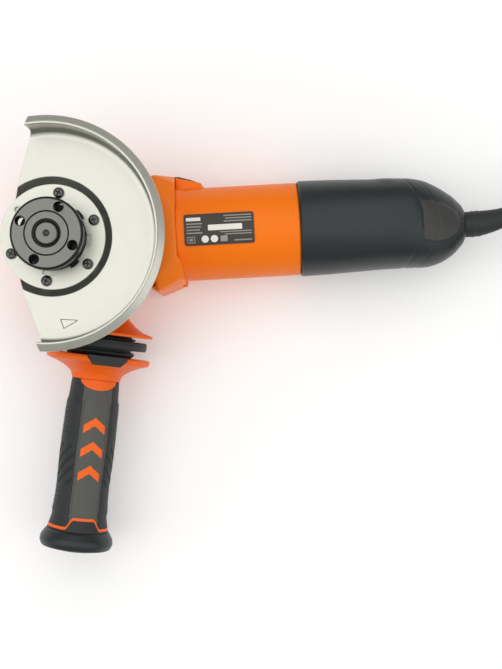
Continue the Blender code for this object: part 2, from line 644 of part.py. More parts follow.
def finish_brush(side, label, look):
    """One carbon brush in its holder, above or below the commutator."""
    half_x, half_y, wall = 4.6 * MM, 3.2 * MM, 0.9 * MM

    def box(low, high, more):
        ends = sorted((MOTOR_Z + side * low * MM, MOTOR_Z + side * high * MM))
        return block((BRUSH_X - half_x - more, -half_y - more, ends[0]), (BRUSH_X + half_x + more, half_y + more, ends[1]))

    holder = finish(f"brush_holder_{label}", box(13.0, 27.9, wall), look["brass"], smooth=False)
    cut(holder, helper(f"brush_slot_{label}", box(5, 26.6, 0)))
    finish(f"carbon_brush_{label}", box(11.4, 23.0, -GAP), look["carbon"], smooth=False)


# ---------------------------------------------------------------- housings
def make_motor_housing(look, motor_axis):
    count = 28
    case_ring = section(CASE_FLANGE_X + GAP, CASE_FLANGE_W, 0.3 * MM, CASE_FLANGE_TOP, 5, count)
    rings = [
        case_ring,
        section(76 * MM, 37.6 * MM, 0.4 * MM, 66.8 * MM, 4.6, count),
        section(82.5 * MM, 35.4 * MM, 1.6 * MM, 65.4 * MM, 3.6, count),
        section(89 * MM, 32.2 * MM, 3.0 * MM, 64.6 * MM, 2.7, count),
        section(95 * MM, 30.4 * MM, 3.8 * MM, 64.1 * MM, 2.1, count),
        circle(100 * MM, MOTOR_R, count),
        circle(HOUSING_END, MOTOR_R, count),
        circle(HOUSING_END, 27 * MM, count),
        circle(176 * MM, 27 * MM, count),
        circle(176 * MM, 11.3 * MM, count),
        circle(164 * MM, 11.3 * MM, count),
        circle(164 * MM, 13.4 * MM, count),
        circle(172.5 * MM, 13.4 * MM, count),
        circle(172.5 * MM, 25.2 * MM, count),
        circle(158 * MM, 25.2 * MM, count),
        circle(140 * MM, 27.9 * MM, count),
        circle(92 * MM, 28 * MM, count),
        circle(84 * MM, 28.9 * MM, count),
        circle(77 * MM, 30.4 * MM, count),
        circle(CASE_FLANGE_X + GAP, 31.4 * MM, count),
    ]
    housing = finish("motor_housing", loft(rings), look["orange_plastic"])
    cut(housing,
        helper("slider_channel", block((60 * MM, 32.2 * MM, 18.2 * MM), (98 * MM, 45 * MM, 34.8 * MM))),
        helper("slider_slot", block((75.2 * MM, 24 * MM, 30.4 * MM), (87.2 * MM, 36 * MM, 34.8 * MM))),
        helper("rod_channel", block((136 * MM, 25.0 * MM, 30.3 * MM), (180 * MM, 27.8 * MM, 36.7 * MM))))
    half_x = 5.8 * MM
    for side, label in ((1, "upper"), (-1, "lower")):
        low, high = sorted((MOTOR_Z + side * 20 * MM, MOTOR_Z + side * 28.3 * MM))
        seat = block((BRUSH_X - half_x, -4.4 * MM, low), (BRUSH_X + half_x, 4.4 * MM, high))
        cut(housing, helper(f"brush_seat_{label}", seat))
    for i in range(4):
        vent = helper(f"end_vent_{i}", rod(4.2 * MM, 165 * MM, 185 * MM, 12), motor_axis)
        vent.location = polar(19.3 * MM, 45 + 90 * i)
        cut(housing, vent)

    recess = arc_plate(PLATE_HALF_ARC + 1, MOTOR_R + 0.05 * MM, 40 * MM, PLATE_START - 0.5 * MM, 99.7 * MM)
    cut(housing, helper("plate_recess", recess))
    plate = arc_plate(PLATE_HALF_ARC, MOTOR_R + 0.35 * MM, MOTOR_R + 0.95 * MM, PLATE_START, PLATE_END)
    finish("rating_plate", plate, look["label"])
    return housing


def arc_plate(half_arc, inner_r, outer_r, start, end):
    """A curved plate over the motor's axis, centred on its top."""
    arc = [math.radians(90 - half_arc + half_arc * i / 5) for i in range(11)]
    outline = [(outer_r, a) for a in arc] + [(inner_r, a) for a in reversed(arc)]
    ends = [[(x, r * math.cos(a), MOTOR_Z + r * math.sin(a)) for r, a in outline] for x in (start, end)]
    return loft(ends, ring_shaped=False)


COVER_STATIONS = (
    # x, half width, lowest, highest, squareness
    (155.3, 30.9, 3.0, 64.9, 2.2),
    (175.0, 30.5, 2.4, 64.7, 2.3),
    (192.0, 29.8, 1.2, 64.3, 2.4),
    (208.0, 29.2, 0.0, 63.8, 2.4),
    (228.0, 28.6, 0.0, 62.4, 2.4),
    (238.0, 26.6, 2.6, 60.0, 2.3),
    (247.0, 22.4, 8.0, 56.4, 2.2),
    (255.0, 17.4, 15.0, 51.8, 2.1),
    (261.0, 11.8, 21.6, 46.6, 2.0),
    (265.6, 5.6, 27.6, 40.4, 2.0),
)
COVER_BOSSES = (
    # x, y, top
    (186.0, -8.0, 62.0),
    (233.0, 8.0, 58.8),
)


def cover_rings(inset, last, count):
    """The rear cover's sections, each drawn in by an inset."""
    return [section(x * MM, half * MM - inset, low * MM + inset, high * MM - inset, power, count)
            for x, half, low, high, power in COVER_STATIONS[:last]]


def make_rear_cover(look, motor_axis):
    """Two shells, parted at the motor's height, that close the back of the tool and form the grip."""
    count = 24
    inside = [section(150 * MM, 28.6 * MM, 5.4 * MM, 62.6 * MM, 2.2, count)] + cover_rings(COVER_WALL, 8, count)
    hollow = helper("cover_hollow", loft(inside, ring_shaped=False))
    neck = helper("boot_hole", rod(8.9 * MM, 250 * MM, 280 * MM, 20), motor_axis)
    shells = []
    for label, low, high in (("lower", MOTOR_Z - GAP / 2, 100 * MM), ("upper", -10 * MM, MOTOR_Z + GAP / 2)):
        shell = finish(f"rear_cover_{label}", loft(cover_rings(0.0, 10, count), False), look["black_plastic"])
        cut(shell, hollow, neck)
        for number, (x, y, top) in enumerate(COVER_BOSSES, 1):
            boss = helper(f"cover_boss_{label}_{number}", rod(5 * MM, 4 * MM, top * MM, 16))
            hole = helper(f"cover_screw_hole_{label}_{number}", turned([
                (0, -5 * MM), (3.4 * MM, -5 * MM), (3.4 * MM, 12 * MM), (1.7 * MM, 12 * MM), (1.7 * MM, 46 * MM),
                (0, 46 * MM)], 12, closed=False))
            boss.location = hole.location = (x * MM, y * MM, 0)
            join(shell, boss)
            cut(shell, hole)
        if label == "lower":
            cut_vents(shell)
        cut(shell, helper(f"other_half_{label}", block((140 * MM, -60 * MM, low), (300 * MM, 60 * MM, high))))
    for number, (x, y, _) in enumerate(COVER_BOSSES, 1):
        axis = empty(f"cover_screw_axis_{number}", (x * MM, y * MM, 0))
        finish(f"cover_screw_{number}", turned([
            (0, 9.2 * MM), (2.2 * MM, 9.2 * MM), (3.0 * MM, 9.8 * MM), (3.0 * MM, 11.7 * MM), (1.4 * MM, 11.7 * MM),
            (1.4 * MM, 43.4 * MM), (0, 44 * MM)], 12, closed=False), look["black_screw"], axis)


def cut_vents(shell):
    """Slanted air slots along both sides of the grip."""
    for side in (-1, 1):
        for i in range(4):
            cutter = helper(f"vent_{side + 1}_{i}", block((-1.4 * MM, -8 * MM, -8 * MM), (1.4 * MM, 8 * MM, 8 * MM)))
            cutter.location = ((201 + 6.5 * i) * MM, side * 29 * MM, 21 * MM)
            cutter.rotation_euler = (0, math.radians(18), 0)
            cut(shell, cutter)


def make_switch(look):
    slider_axis = empty("slider_axis", (83 * MM, 35 * MM, 27 * MM))
    pad = [(-10.0, -2.2), (10.8, -2.2), (10.8, -0.4), (3.0, 2.6), (-8.5, 3.4), (-10.0, 2.4)]
    button = finish("slide_button", prism([(x * MM, y * MM) for x, y in pad], -8 * MM, 7 * MM),
                    look["black_plastic"], slider_axis)
    join(button, helper("button_leg", block((-2.0 * MM, -7.9 * MM, 4.0 * MM), (3 * MM, -1.5 * MM, 7 * MM)),
                        slider_axis))
    finish("switch_rod", block((-2 * MM, -9.4 * MM, 4 * MM), (112 * MM, -8.2 * MM, 9.4 * MM)),
           look["bright_steel"], slider_axis, smooth=False)
    finish("switch_block", block((196 * MM, 7 * MM, 23 * MM), (220 * MM, 24.6 * MM, 46 * MM)),
           look["black_plastic"], smooth=False)


# ---------------------------------------------------------------- cord
BOOT_PATH = [Vector((x * MM, y * MM, z * MM)) for x, y, z in (
    (252.0, 0.0, 34.0), (264.0, 0.0, 34.0), (276.0, 0.6, 34.0), (290.0, 2.8, 33.4), (306.0, 7.8, 31.4),
    (322.0, 13.6, 27.4))]
BOOT_RADII = ((0.0, 8.3), (0.25, 8.3), (0.6, 6.0), (1.0, 4.9))

# The route from the boot's mouth to the coil: down to the surface, then round to the coil's edge.
LEAD_POINTS = [Vector((x * MM, y * MM, z * MM)) for x, y, z in (
    (322.5, 13.8, 27.2), (332.0, 16.0, 24.3), (341.5, 15.7, 20.4), (351.0, 13.2, 16.0), (360.0, 9.6, 11.8),
    (368.6, 4.9, 8.2), (377.0, -1.4, 5.5), (385.0, -8.2, 4.2), (392.4, -15.3, 3.8))]


def boot_radius(share):
    for (a, ra), (b, rb) in zip(BOOT_RADII, BOOT_RADII[1:]):
        if share <= b:
            return (ra + (rb - ra) * (share - a) / (b - a)) * MM
    return BOOT_RADII[-1][1] * MM


def make_cord(look):
    boot = smooth_path(BOOT_PATH, 5 * MM)
    radii = [boot_radius(i / (len(boot) - 1)) for i in range(len(boot))]
    finish("cord_boot", loft(rings_along(boot, radii, 16), ring_shaped=False), look["rubber"])
    clamp = finish("cord_clamp", block((239 * MM, -12 * MM, 38.6 * MM), (247 * MM, 12 * MM, 44 * MM)),
                   look["black_plastic"], smooth=False)
    cut(clamp, helper("clamp_groove", rod(4.5 * MM, 230 * MM, 250 * MM, 16),
                      empty("clamp_axis", (0, 0, 38 * MM), (0, math.pi / 2, 0))))

    curve = bpy.data.curves.new("cord_run", "CURVE")
    curve.dimensions = "3D"
    curve.bevel_depth = CORD_D / 2
    curve.bevel_resolution = 2
    curve.use_fill_caps = True
    points = smooth_path(LEAD_POINTS, 2.2 * CORD_D)
    spline = curve.splines.new("POLY")
    spline.points.add(len(points) - 1)
    for place, point in zip(spline.points, points):
        place.co = (*point, 1.0)
    cord = bpy.data.objects.new("cord_run", curve)
    bpy.context.scene.collection.objects.link(cord)
    curve.materials.append(look["rubber"])

    height = COIL_ROWS * CORD_D
    coil = finish("cord_coil", tube(2 * COIL_R - COIL_EDGE, COIL_EDGE, 0.1 * MM, height, 28, 2 * MM), look["rubber"])
    coil.location = COIL_CENTRE

    outer_turn = COIL_EDGE - CORD_D / 2
    clear_of_coil = math.sqrt((COIL_EDGE + CORD_D / 2 + 2 * GAP) ** 2 - outer_turn ** 2)
    start = COIL_CENTRE + Vector((outer_turn, -clear_of_coil, height - CORD_D / 2))
    plug_axis = empty("plug_axis", start, (math.pi / 2, 0, 0))
    plug = finish("plug", turned([
        (0, 0), (3.9 * MM, 0), (4.6 * MM, 4 * MM), (7 * MM, 24 * MM), (12 * MM, 31 * MM), (17.6 * MM, 38 * MM),
        (18.2 * MM, 46 * MM), (17.6 * MM, 56 * MM), (0, 56 * MM)], 24, closed=False), look["rubber"], plug_axis)
    for side in (-1, 1):
        pin = helper(f"plug_pin_{side + 1}", rod(2.4 * MM, 54 * MM, 75 * MM, 12), plug_axis)
        pin.location = (side * 9.5 * MM, 0, 0)
        join(plug, pin)


# ---------------------------------------------------------------- side handle
def make_handle(look):
    axis = placed(empty("handle_axis"), handle_matrix(-1))
    bore = 4.3 * MM
    finish("handle_stud", rod(3.9 * MM, 25.5 * MM, 110 * MM, 16), look["bright_steel"], axis)
    finish("handle_collar", turned([
        (bore, BOSS_END + GAP), (14.6 * MM, BOSS_END + GAP), (16.6 * MM, 50 * MM), (25.5 * MM, 57 * MM),
        (HANDLE_FLANGE_R, 62.0 * MM), (HANDLE_FLANGE_R - 0.6 * MM, 63.5 * MM), (bore, 63.5 * MM)], 28),
        look["orange_handle"], axis)
    finish("damper", turned([
        (bore, 63.8 * MM), (20 * MM, 63.8 * MM), (20 * MM, 67 * MM), (29.4 * MM, 67 * MM), (30 * MM, 68 * MM),
        (30 * MM, 72.4 * MM), (29.4 * MM, 73.4 * MM), (20 * MM, 73.4 * MM), (20 * MM, 76.2 * MM),
        (bore, 76.2 * MM)], 24), look["rubber"], axis)
    finish("handle_core", turned([
        (bore, 76.5 * MM), (HANDLE_FLANGE_R - 0.6 * MM, 76.5 * MM), (HANDLE_FLANGE_R, 78 * MM),
        (HANDLE_FLANGE_R - 0.6 * MM, 81 * MM), (27 * MM, 83 * MM), (20.5 * MM, 86.6 * MM), (16.6 * MM, 91.6 * MM),
        (15.6 * MM, 96 * MM), (11.6 * MM, 96 * MM), (11.6 * MM, 186 * MM), (bore, 186 * MM)], 28),
        look["orange_handle"], axis)
    finish("grip_sleeve", turned([
        (11.9 * MM, 96.3 * MM), (15.9 * MM, 96.3 * MM), (17.2 * MM, 104 * MM), (18.5 * MM, 124 * MM),
        (18.6 * MM, 134 * MM), (17.6 * MM, 154 * MM), (17.5 * MM, 169 * MM), (20.4 * MM, 186.4 * MM),
        (11.9 * MM, 186.4 * MM)], 28), look["rubber"], axis)
    finish("handle_cap", turned([
        (0, 186.7 * MM), (20.5 * MM, 186.7 * MM), (24.0 * MM, 195.4 * MM), (24.2 * MM, 199 * MM),
        (22.6 * MM, 201.8 * MM), (14 * MM, HANDLE_END), (0, HANDLE_END)], 28, closed=False),
        look["black_plastic"], axis)


# ---------------------------------------------------------------- the tool
def main():
    for old in list(bpy.data.objects):
        bpy.data.objects.remove(old)
    look = make_materials()
    along_motor = (0, math.pi / 2, 0)
    motor_axis = empty("motor_axis", (0, 0, MOTOR_Z), along_motor)
    armature_axis = empty("armature_axis", (0, 0, MOTOR_Z), along_motor)
    spindle_axis = empty("spindle_axis")
    apex = empty("gear_apex", (0, 0, MOTOR_Z), parent=spindle_axis)
    guard_axis = empty("guard_axis")

    case = make_gear_case(look, motor_axis)
    housing = make_motor_housing(look, motor_axis)
    make_case_screws(look, case, housing)
    make_bearing_flange(look)
    ball_bearing("spindle_bearing", 6.3 * MM, 15.9 * MM, 50.2 * MM, 60.3 * MM, spindle_axis, look)
    finish("spindle_bush", tube(4.3 * MM, 7 * MM, 14.5 * MM, 20.7 * MM, 18), look["brass"])
    make_spindle_group(look, spindle_axis, apex)
    make_guard(look, guard_axis)
    make_latch(look)
    make_spindle_lock(look)
    make_motor(look, motor_axis, armature_axis)
    make_rear_cover(look, motor_axis)
    make_switch(look)
    make_handle(look)
    make_cord(look)


main()
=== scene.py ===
# %% [markdown]
# # A small angle grinder, from the cord to the clamping nut
#
# The grinder lies on its back, so its spindle points up at us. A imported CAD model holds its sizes
# and its moving bodies. Here each piece gets its fine shape and its finish, around that frame.

# %% Load the frame
import math

import bmesh
import bpy
from mathutils import Matrix, Quaternion, Vector


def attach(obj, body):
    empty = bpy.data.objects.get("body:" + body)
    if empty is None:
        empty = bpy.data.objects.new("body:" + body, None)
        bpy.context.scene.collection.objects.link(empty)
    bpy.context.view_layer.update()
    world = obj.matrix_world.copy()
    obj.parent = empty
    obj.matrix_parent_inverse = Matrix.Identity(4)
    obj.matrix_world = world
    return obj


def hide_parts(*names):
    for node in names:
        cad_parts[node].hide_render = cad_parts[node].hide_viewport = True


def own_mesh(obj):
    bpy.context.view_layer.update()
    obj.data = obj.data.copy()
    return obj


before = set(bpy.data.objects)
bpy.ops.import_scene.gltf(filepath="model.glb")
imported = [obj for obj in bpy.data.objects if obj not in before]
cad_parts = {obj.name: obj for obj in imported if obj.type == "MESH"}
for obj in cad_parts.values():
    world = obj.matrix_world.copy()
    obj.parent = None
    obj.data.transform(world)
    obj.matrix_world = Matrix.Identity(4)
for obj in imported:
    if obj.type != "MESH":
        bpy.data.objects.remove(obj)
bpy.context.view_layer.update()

MM = 0.001

# %% [markdown]
# ## The camera
#
# The camera hangs almost straight above the table. We could aim it with a Track To constraint, but
# one small turn vector says more clearly how little it leans from straight down.

# %% Place the camera
LENS = 64.3
CAMERA_PLACE = Vector((117.4, -79.5, 813.2)) * MM
CAMERA_TURN = Vector((math.radians(0.92), math.radians(-0.20), math.radians(-3.12)))

camera = bpy.data.objects.new("camera", bpy.data.cameras.new("camera"))
camera.data.lens = LENS
camera.data.sensor_width = 36.0
camera.location = CAMERA_PLACE
camera.rotation_euler = Quaternion(CAMERA_TURN.normalized(), CAMERA_TURN.length).to_euler()
bpy.context.scene.collection.objects.link(camera)
bpy.context.scene.camera = camera
print("camera", round(CAMERA_PLACE.z, 3), "m above the table")

# %% [markdown]
# ## Light and floor
#
# Big soft boxes make the long, quiet highlights that show a curved plastic shell. The world adds
# the rest: it is bright overhead and dim near the horizon, so that polished steel has something
# dark to mirror, as it has between the lamps of a real studio.

# %% Build the studio
LIGHT_AIM = Vector((0.12, -0.03, 0.03))
SKY_LOW, SKY_HIGH = 0.19, 0.70
FLOOR_REACH, FLOOR_Z = 3.0, -0.0004


def soft_box(name, place, size, power):
    """An area light that looks at the middle of the tool."""
    light = bpy.data.lights.new(name, "AREA")
    light.shape = "RECTANGLE"
    light.size, light.size_y = size
    light.energy = power
    lamp = bpy.data.objects.new(name, light)
    lamp.location = place
    lamp.rotation_euler = (LIGHT_AIM - lamp.location).to_track_quat("-Z", "Y").to_euler()
    bpy.context.scene.collection.objects.link(lamp)


soft_box("overhead_box", (0.05, 0.25, 1.30), (1.8, 1.6), 7.2)
soft_box("left_box", (-0.95, -0.25, 0.80), (0.9, 1.2), 2.8)
soft_box("right_box", (1.00, -0.45, 0.70), (0.9, 1.2), 2.5)


def node(tree, kind, values=None, **settings):
    """Adds a node. Each value is put on its input, or linked to it if the value is a socket."""
    made = tree.nodes.new(kind)
    for key, value in settings.items():
        setattr(made, key, value)
    for key, value in (values or {}).items():
        if isinstance(value, bpy.types.NodeSocket):
            tree.links.new(value, made.inputs[key])
        else:
            made.inputs[key].default_value = value
    return made


world = bpy.data.worlds.new("studio")
world.use_nodes = True
sky = world.node_tree
height = node(sky, "ShaderNodeSeparateXYZ", {0: node(sky,
                                                     "ShaderNodeTexCoord").outputs["Generated"]})
fade = node(sky, "ShaderNodeMapRange", {"Value": height.outputs["Z"], 1: 0.0, 2: 0.75,
                                           3: SKY_LOW, 4: SKY_HIGH})
glow = node(sky, "ShaderNodeBackground", {"Color": (1.0, 0.99, 0.97, 1.0),
                                          "Strength": fade.outputs[0]})
sky.links.new(glow.outputs[0], sky.nodes["World Output"].inputs["Surface"])
bpy.context.scene.world = world
bpy.context.scene.view_settings.view_transform = "Standard"

floor_mesh = bpy.data.meshes.new("floor")
floor_mesh.from_pydata([(FLOOR_REACH * x, FLOOR_REACH * y, FLOOR_Z)
                        for x, y in ((-1, -1), (1, -1), (1, 1), (-1, 1))], [], [(0, 1, 2, 3)])
floor = bpy.data.objects.new("floor", floor_mesh)
bpy.context.scene.collection.objects.link(floor)
paper = bpy.data.materials.new("paper")
paper.use_nodes = True
for key, value in (("Base Color", (0.93, 0.93, 0.93, 1.0)), ("Roughness", 0.9),
                   ("Emission Color", (1.0, 1.0, 1.0, 1.0)), ("Emission Strength", 0.10)):
    paper.node_tree.nodes["Principled BSDF"].inputs[key].default_value = value
floor_mesh.materials.append(paper)
print("three soft boxes and a paper floor")

# %% [markdown]
# ## One recipe for every finish
#
# No moulded or cast surface has one flat colour. Each finish here is a Principled shader with the
# same three things on it: a faint mottle in the colour, a fine grain that breaks up the gloss and
# stands up as bump, and a Bevel node that rounds every edge for the light. Many also get rubbed
# edges. The Bevel node's normal leaves the face's own normal only near an edge, so the difference
# of the two is a ready mask for wear. All the patterns read Object coordinates, so they stay put on
# their piece.

# %% Define the finishes
def finish(name, colour, roughness, metallic=0.0, mottle=0.08, spots=70.0, grain=1400.0, depth=0.02,
           spread=0.08, edge=0.35, worn=None, wear=0.5, shine=0.5, stretch=(1, 1, 1)):
    """A finish whose grain and edges have real sizes: depth and edge are in millimetres."""
    made = bpy.data.materials.new(name)
    made.use_nodes = True
    tree = made.node_tree
    shader = tree.nodes["Principled BSDF"]
    place = node(tree, "ShaderNodeMapping", {"Vector": node(tree,
                                                            "ShaderNodeTexCoord").outputs["Object"],
                                             "Scale": stretch}).outputs[0]
    cloud = node(tree, "ShaderNodeTexNoise", {"Vector": place, "Scale": spots, "Detail": 3.0})
    fine = node(tree, "ShaderNodeTexNoise", {"Vector": place, "Scale": grain, "Detail": 2.0})
    dark = tuple(c * (1 - mottle) for c in colour)
    light = tuple(min(1.0, c * (1 + mottle)) for c in colour)
    tone = node(tree, "ShaderNodeMix", {"Factor": cloud.outputs[0], 6: (*dark, 1), 7: (*light, 1)},
                data_type="RGBA")
    gloss = node(tree, "ShaderNodeMapRange", {"Value": fine.outputs[0], 1: 0.3, 2: 0.7,
                                              3: roughness - spread, 4: roughness + spread})
    soft = node(tree, "ShaderNodeBevel", {"Radius": edge * MM}, samples=4)
    bump = node(tree, "ShaderNodeBump", {"Height": fine.outputs[0], "Distance": depth * MM,
                                         "Normal": soft.outputs[0]})
    tree.links.new(bump.outputs[0], shader.inputs["Normal"])
    shader.inputs["Metallic"].default_value = metallic
    shader.inputs["Specular IOR Level"].default_value = shine
    colour_out, rough_out = tone.outputs[2], gloss.outputs[0]
    if worn:
        flat = node(tree, "ShaderNodeNewGeometry").outputs["Normal"]
        wide = node(tree, "ShaderNodeBevel", {"Radius": 2.2 * edge * MM}, samples=4)
        same = node(tree, "ShaderNodeVectorMath", {0: flat, 1: wide.outputs[0]},
                    operation="DOT_PRODUCT")
        rim = node(tree, "ShaderNodeMapRange",
                   {"Value": same.outputs["Value"], 1: 0.985, 2: 0.86, 3: 0.0, 4: wear})
        patchy = node(tree, "ShaderNodeMath", {0: rim.outputs[0], 1: cloud.outputs[0]},
                      operation="MULTIPLY")
        colour_out = node(tree, "ShaderNodeMix",
                          {"Factor": patchy.outputs[0], 6: colour_out, 7: (*worn, 1)},
                          data_type="RGBA").outputs[2]
        rough_out = node(tree, "ShaderNodeMix", {"Factor": patchy.outputs[0], 2: rough_out,
                                                 3: min(1.0, roughness + 0.15)}).outputs[0]
    tree.links.new(colour_out, shader.inputs["Base Color"])
    tree.links.new(rough_out, shader.inputs["Roughness"])
    return made


FINISHES = (
    # name, colour, roughness and what else differs from the recipe
    ("orange_plastic", (0.93, 0.185, 0.001), 0.40,
     dict(mottle=0.03, grain=2200, depth=0.012, worn=(1.0, 0.40, 0.08), wear=0.35, shine=0.22)),
    ("orange_paint", (0.93, 0.195, 0.003), 0.36,
     dict(mottle=0.04, grain=900, depth=0.03, worn=(1.0, 0.42, 0.10), wear=0.4, shine=0.3)),
    ("orange_handle", (0.90, 0.135, 0.006), 0.42,
     dict(mottle=0.04, grain=2200, depth=0.012, worn=(1.0, 0.36, 0.10), wear=0.35, shine=0.25)),
    ("black_plastic", (0.012, 0.017, 0.018), 0.38,
     dict(mottle=0.12, grain=1900, depth=0.03, worn=(0.07, 0.08, 0.08), shine=0.42)),
    # the tail's raised panel: lighter than the black plastic, a painted highlight
    ("panel_plastic_painted_highlight", (0.036, 0.036, 0.033), 0.45,
     dict(mottle=0.08, grain=1900, depth=0.04, shine=0.42)),
    ("rubber", (0.017, 0.021, 0.022), 0.55, dict(mottle=0.14, grain=2600, depth=0.05,
                                                 worn=(0.08, 0.085, 0.085), shine=0.4)),
    # the grip's smooth band: lighter grey than the rubber, a painted highlight
    ("band_rubber_painted_highlight", (0.082, 0.082, 0.073), 0.58,
     dict(mottle=0.08, grain=2600, depth=0.04, shine=0.4)),
    ("cord_sheath", (0.012, 0.016, 0.015), 0.5,
     dict(mottle=0.18, grain=1500, depth=0.03, shine=0.4)),
    ("plated_steel", (0.60, 0.605, 0.535), 0.36,
     dict(metallic=1.0, mottle=0.035, spots=160, grain=2400, depth=0.015, worn=(0.90, 0.90, 0.87),
          wear=0.8)),
    ("dark_steel", (0.20, 0.205, 0.185), 0.44,
     dict(metallic=1.0, mottle=0.12, grain=2600, depth=0.02, worn=(0.45, 0.45, 0.43), wear=0.8)),
    ("blackened_steel", (0.030, 0.031, 0.030), 0.40,
     dict(metallic=1.0, mottle=0.2, grain=2600, depth=0.02, worn=(0.16, 0.16, 0.15), wear=0.5)),
    ("bright_steel", (0.62, 0.62, 0.61), 0.28,
     dict(metallic=1.0, mottle=0.06, spots=500, grain=3000, depth=0.01, stretch=(1, 1, 12))),
    ("black_screw", (0.125, 0.122, 0.115), 0.34,
     dict(metallic=1.0, mottle=0.2, grain=3000, depth=0.01, edge=0.12, worn=(0.45, 0.44, 0.42),
          wear=0.9)),
    ("die_cast", (0.56, 0.57, 0.58), 0.5, dict(metallic=1.0, mottle=0.08, spots=220, grain=1100,
                                               depth=0.05, worn=(0.8, 0.8, 0.8))),
    ("copper", (0.72, 0.32, 0.16), 0.36, dict(metallic=1.0, mottle=0.12, grain=2000, depth=0.03,
                                              stretch=(0.1, 1, 1))),
    ("brass", (0.78, 0.58, 0.25), 0.34, dict(metallic=1.0, mottle=0.08, grain=2400, depth=0.01,
                                             worn=(0.95, 0.78, 0.45))),
    ("carbon", (0.05, 0.05, 0.052), 0.62, dict(mottle=0.25, spots=400, grain=2600, depth=0.04)),
    ("label", (0.050, 0.044, 0.036), 0.42, dict(mottle=0.08, grain=2600, depth=0.006, edge=0.15,
                                                shine=0.3)),
    ("print_white", (0.80, 0.79, 0.72), 0.5, dict(mottle=0.05, grain=2600, depth=0.004, edge=0.1)),
    ("print_grey", (0.30, 0.29, 0.26), 0.5, dict(mottle=0.05, grain=2600, depth=0.004, edge=0.1)),
)
LOOKS = {name: finish(name, colour, roughness, **more)
         for name, colour, roughness, more in FINISHES}
print(len(LOOKS), "finishes")

# %% [markdown]
# ## A maker's tools
#
# Most of these pieces are turned or moulded round an axis. Spinning a profile gives the turned
# ones, and quads between rings of points give the moulded ones. Sharp corners on a profile are
# what makes a model look like a model, so a corner can name a radius and gets a small curve.

# %% Helpers for shapes
def eased(corners, steps=4):
    """An outline of (x, y) or (x, y, radius) corners, where each radius becomes a small curve."""
    out = []
    count = len(corners)
    for i, (x, y, *radius) in enumerate(corners):
        here = Vector((x, y))
        if not radius:
            out.append((x, y))
            continue
        back = Vector(corners[i - 1][:2]) - here
        ahead = Vector(corners[(i + 1) % count][:2]) - here
        half = back.angle(ahead) / 2
        reach = min(radius[0] / math.tan(half), 0.48 * back.length, 0.48 * ahead.length)
        start, end = here + back.normalized() * reach, here + ahead.normalized() * reach
        for k in range(steps + 1):
            t = k / steps
            out.append(((1 - t) ** 2 * start + 2 * t * (1 - t) * here + t * t * end)[:])
    return out


def turned(profile, steps=96, closed=True):
    """(radius, height) points in millimetres, spun round the local Z axis."""
    shape = bmesh.new()
    points = [shape.verts.new((r * MM, 0.0, z * MM)) for r, z in profile]
    edges = [shape.edges.new(pair) for pair in zip(points, points[1:])]
    if closed:
        edges.append(shape.edges.new((points[-1], points[0])))
    bmesh.ops.spin(shape, geom=points + edges, cent=(0, 0, 0), axis=(0, 0, 1), angle=math.tau,
                   steps=steps,
                   use_merge=True)
    bmesh.ops.remove_doubles(shape, verts=shape.verts, dist=2e-6)
    return shape


def lofted(rings, ring_shaped=False):
    """Quads between rings of points in metres. The ends get a cap, or meet if it is ring shaped."""
    shape = bmesh.new()
    rows = [[shape.verts.new(p) for p in ring] for ring in rings]
    pairs = list(zip(rows, rows[1:]))
    if ring_shaped:
        pairs.append((rows[-1], rows[0]))
    else:
        shape.faces.new(rows[0])
        shape.faces.new(rows[-1])
    for near, far in pairs:
        for i in range(len(near)):
            j = (i + 1) % len(near)
            shape.faces.new((near[i], near[j], far[j], far[i]))
    return shape


def prism(outline, low, high):
    """A flat outline in millimetres, extruded from one height to another."""
    return lofted([[(x * MM, y * MM, z * MM) for x, y in outline] for z in (low, high)])


def brick(low, high, ease=0.0):
    """A box between two corners in millimetres, with its edges eased."""
    shape = bmesh.new()
    low, high = Vector(low) * MM, Vector(high) * MM
    bmesh.ops.create_cube(shape, size=1.0)
    bmesh.ops.scale(shape, vec=high - low, verts=shape.verts)
    bmesh.ops.translate(shape, vec=(low + high) / 2, verts=shape.verts)
    if ease:
        bmesh.ops.bevel(shape, geom=shape.edges[:], offset=ease * MM, segments=2, affect="EDGES",
                        profile=0.5)
    return shape


def rod(radius, low, high, steps=40):
    """A plain round bar on the Z axis, in millimetres."""
    return turned([(0, low), (radius, low), (radius, high), (0, high)], steps, closed=False)


def at(x, y, z):
    """A move to a place in millimetres."""
    return Matrix.Translation(Vector((x, y, z)) * MM)


def tilt(degrees, axis):
    """A turn about one of the main axes."""
    return Matrix.Rotation(math.radians(degrees), 4, axis)


def between(a, b, c, d, t):
    """A place from b (t = 0) to c (t = 1) on the smooth curve through four values in a row."""
    return 0.5 * (2 * b + (c - a) * t + (2 * a - 5 * b + 4 * c - d) * t * t
                  + (3 * b - a - 3 * c + d) * t ** 3)


def shaded(made, angle):
    """Smooth shading with edges sharper than the angle kept."""
    made.data.shade_smooth()
    made.data.set_sharp_from_angle(angle=math.radians(angle))
    return made


def settle(name, shape, *looks, place=None, angle=32):
    """A bmesh becomes an object at the origin, with its place in its mesh."""
    if place:
        bmesh.ops.transform(shape, matrix=place, verts=shape.verts)
    bmesh.ops.recalc_face_normals(shape, faces=shape.faces)
    made = bpy.data.objects.new(name, bpy.data.meshes.new(name))
    shape.to_mesh(made.data)
    shape.free()
    bpy.context.scene.collection.objects.link(made)
    for look in looks:
        made.data.materials.append(LOOKS[look])
    return shaded(made, angle)


def baked_down(made, angle=32):
    """The object's evaluated shape as a plain mesh, with no modifiers left."""
    bpy.context.view_layer.update()
    live = made.evaluated_get(bpy.context.evaluated_depsgraph_get())
    done = bpy.data.meshes.new_from_object(live)
    made.modifiers.clear()
    made.data = done
    return shaded(made, angle)


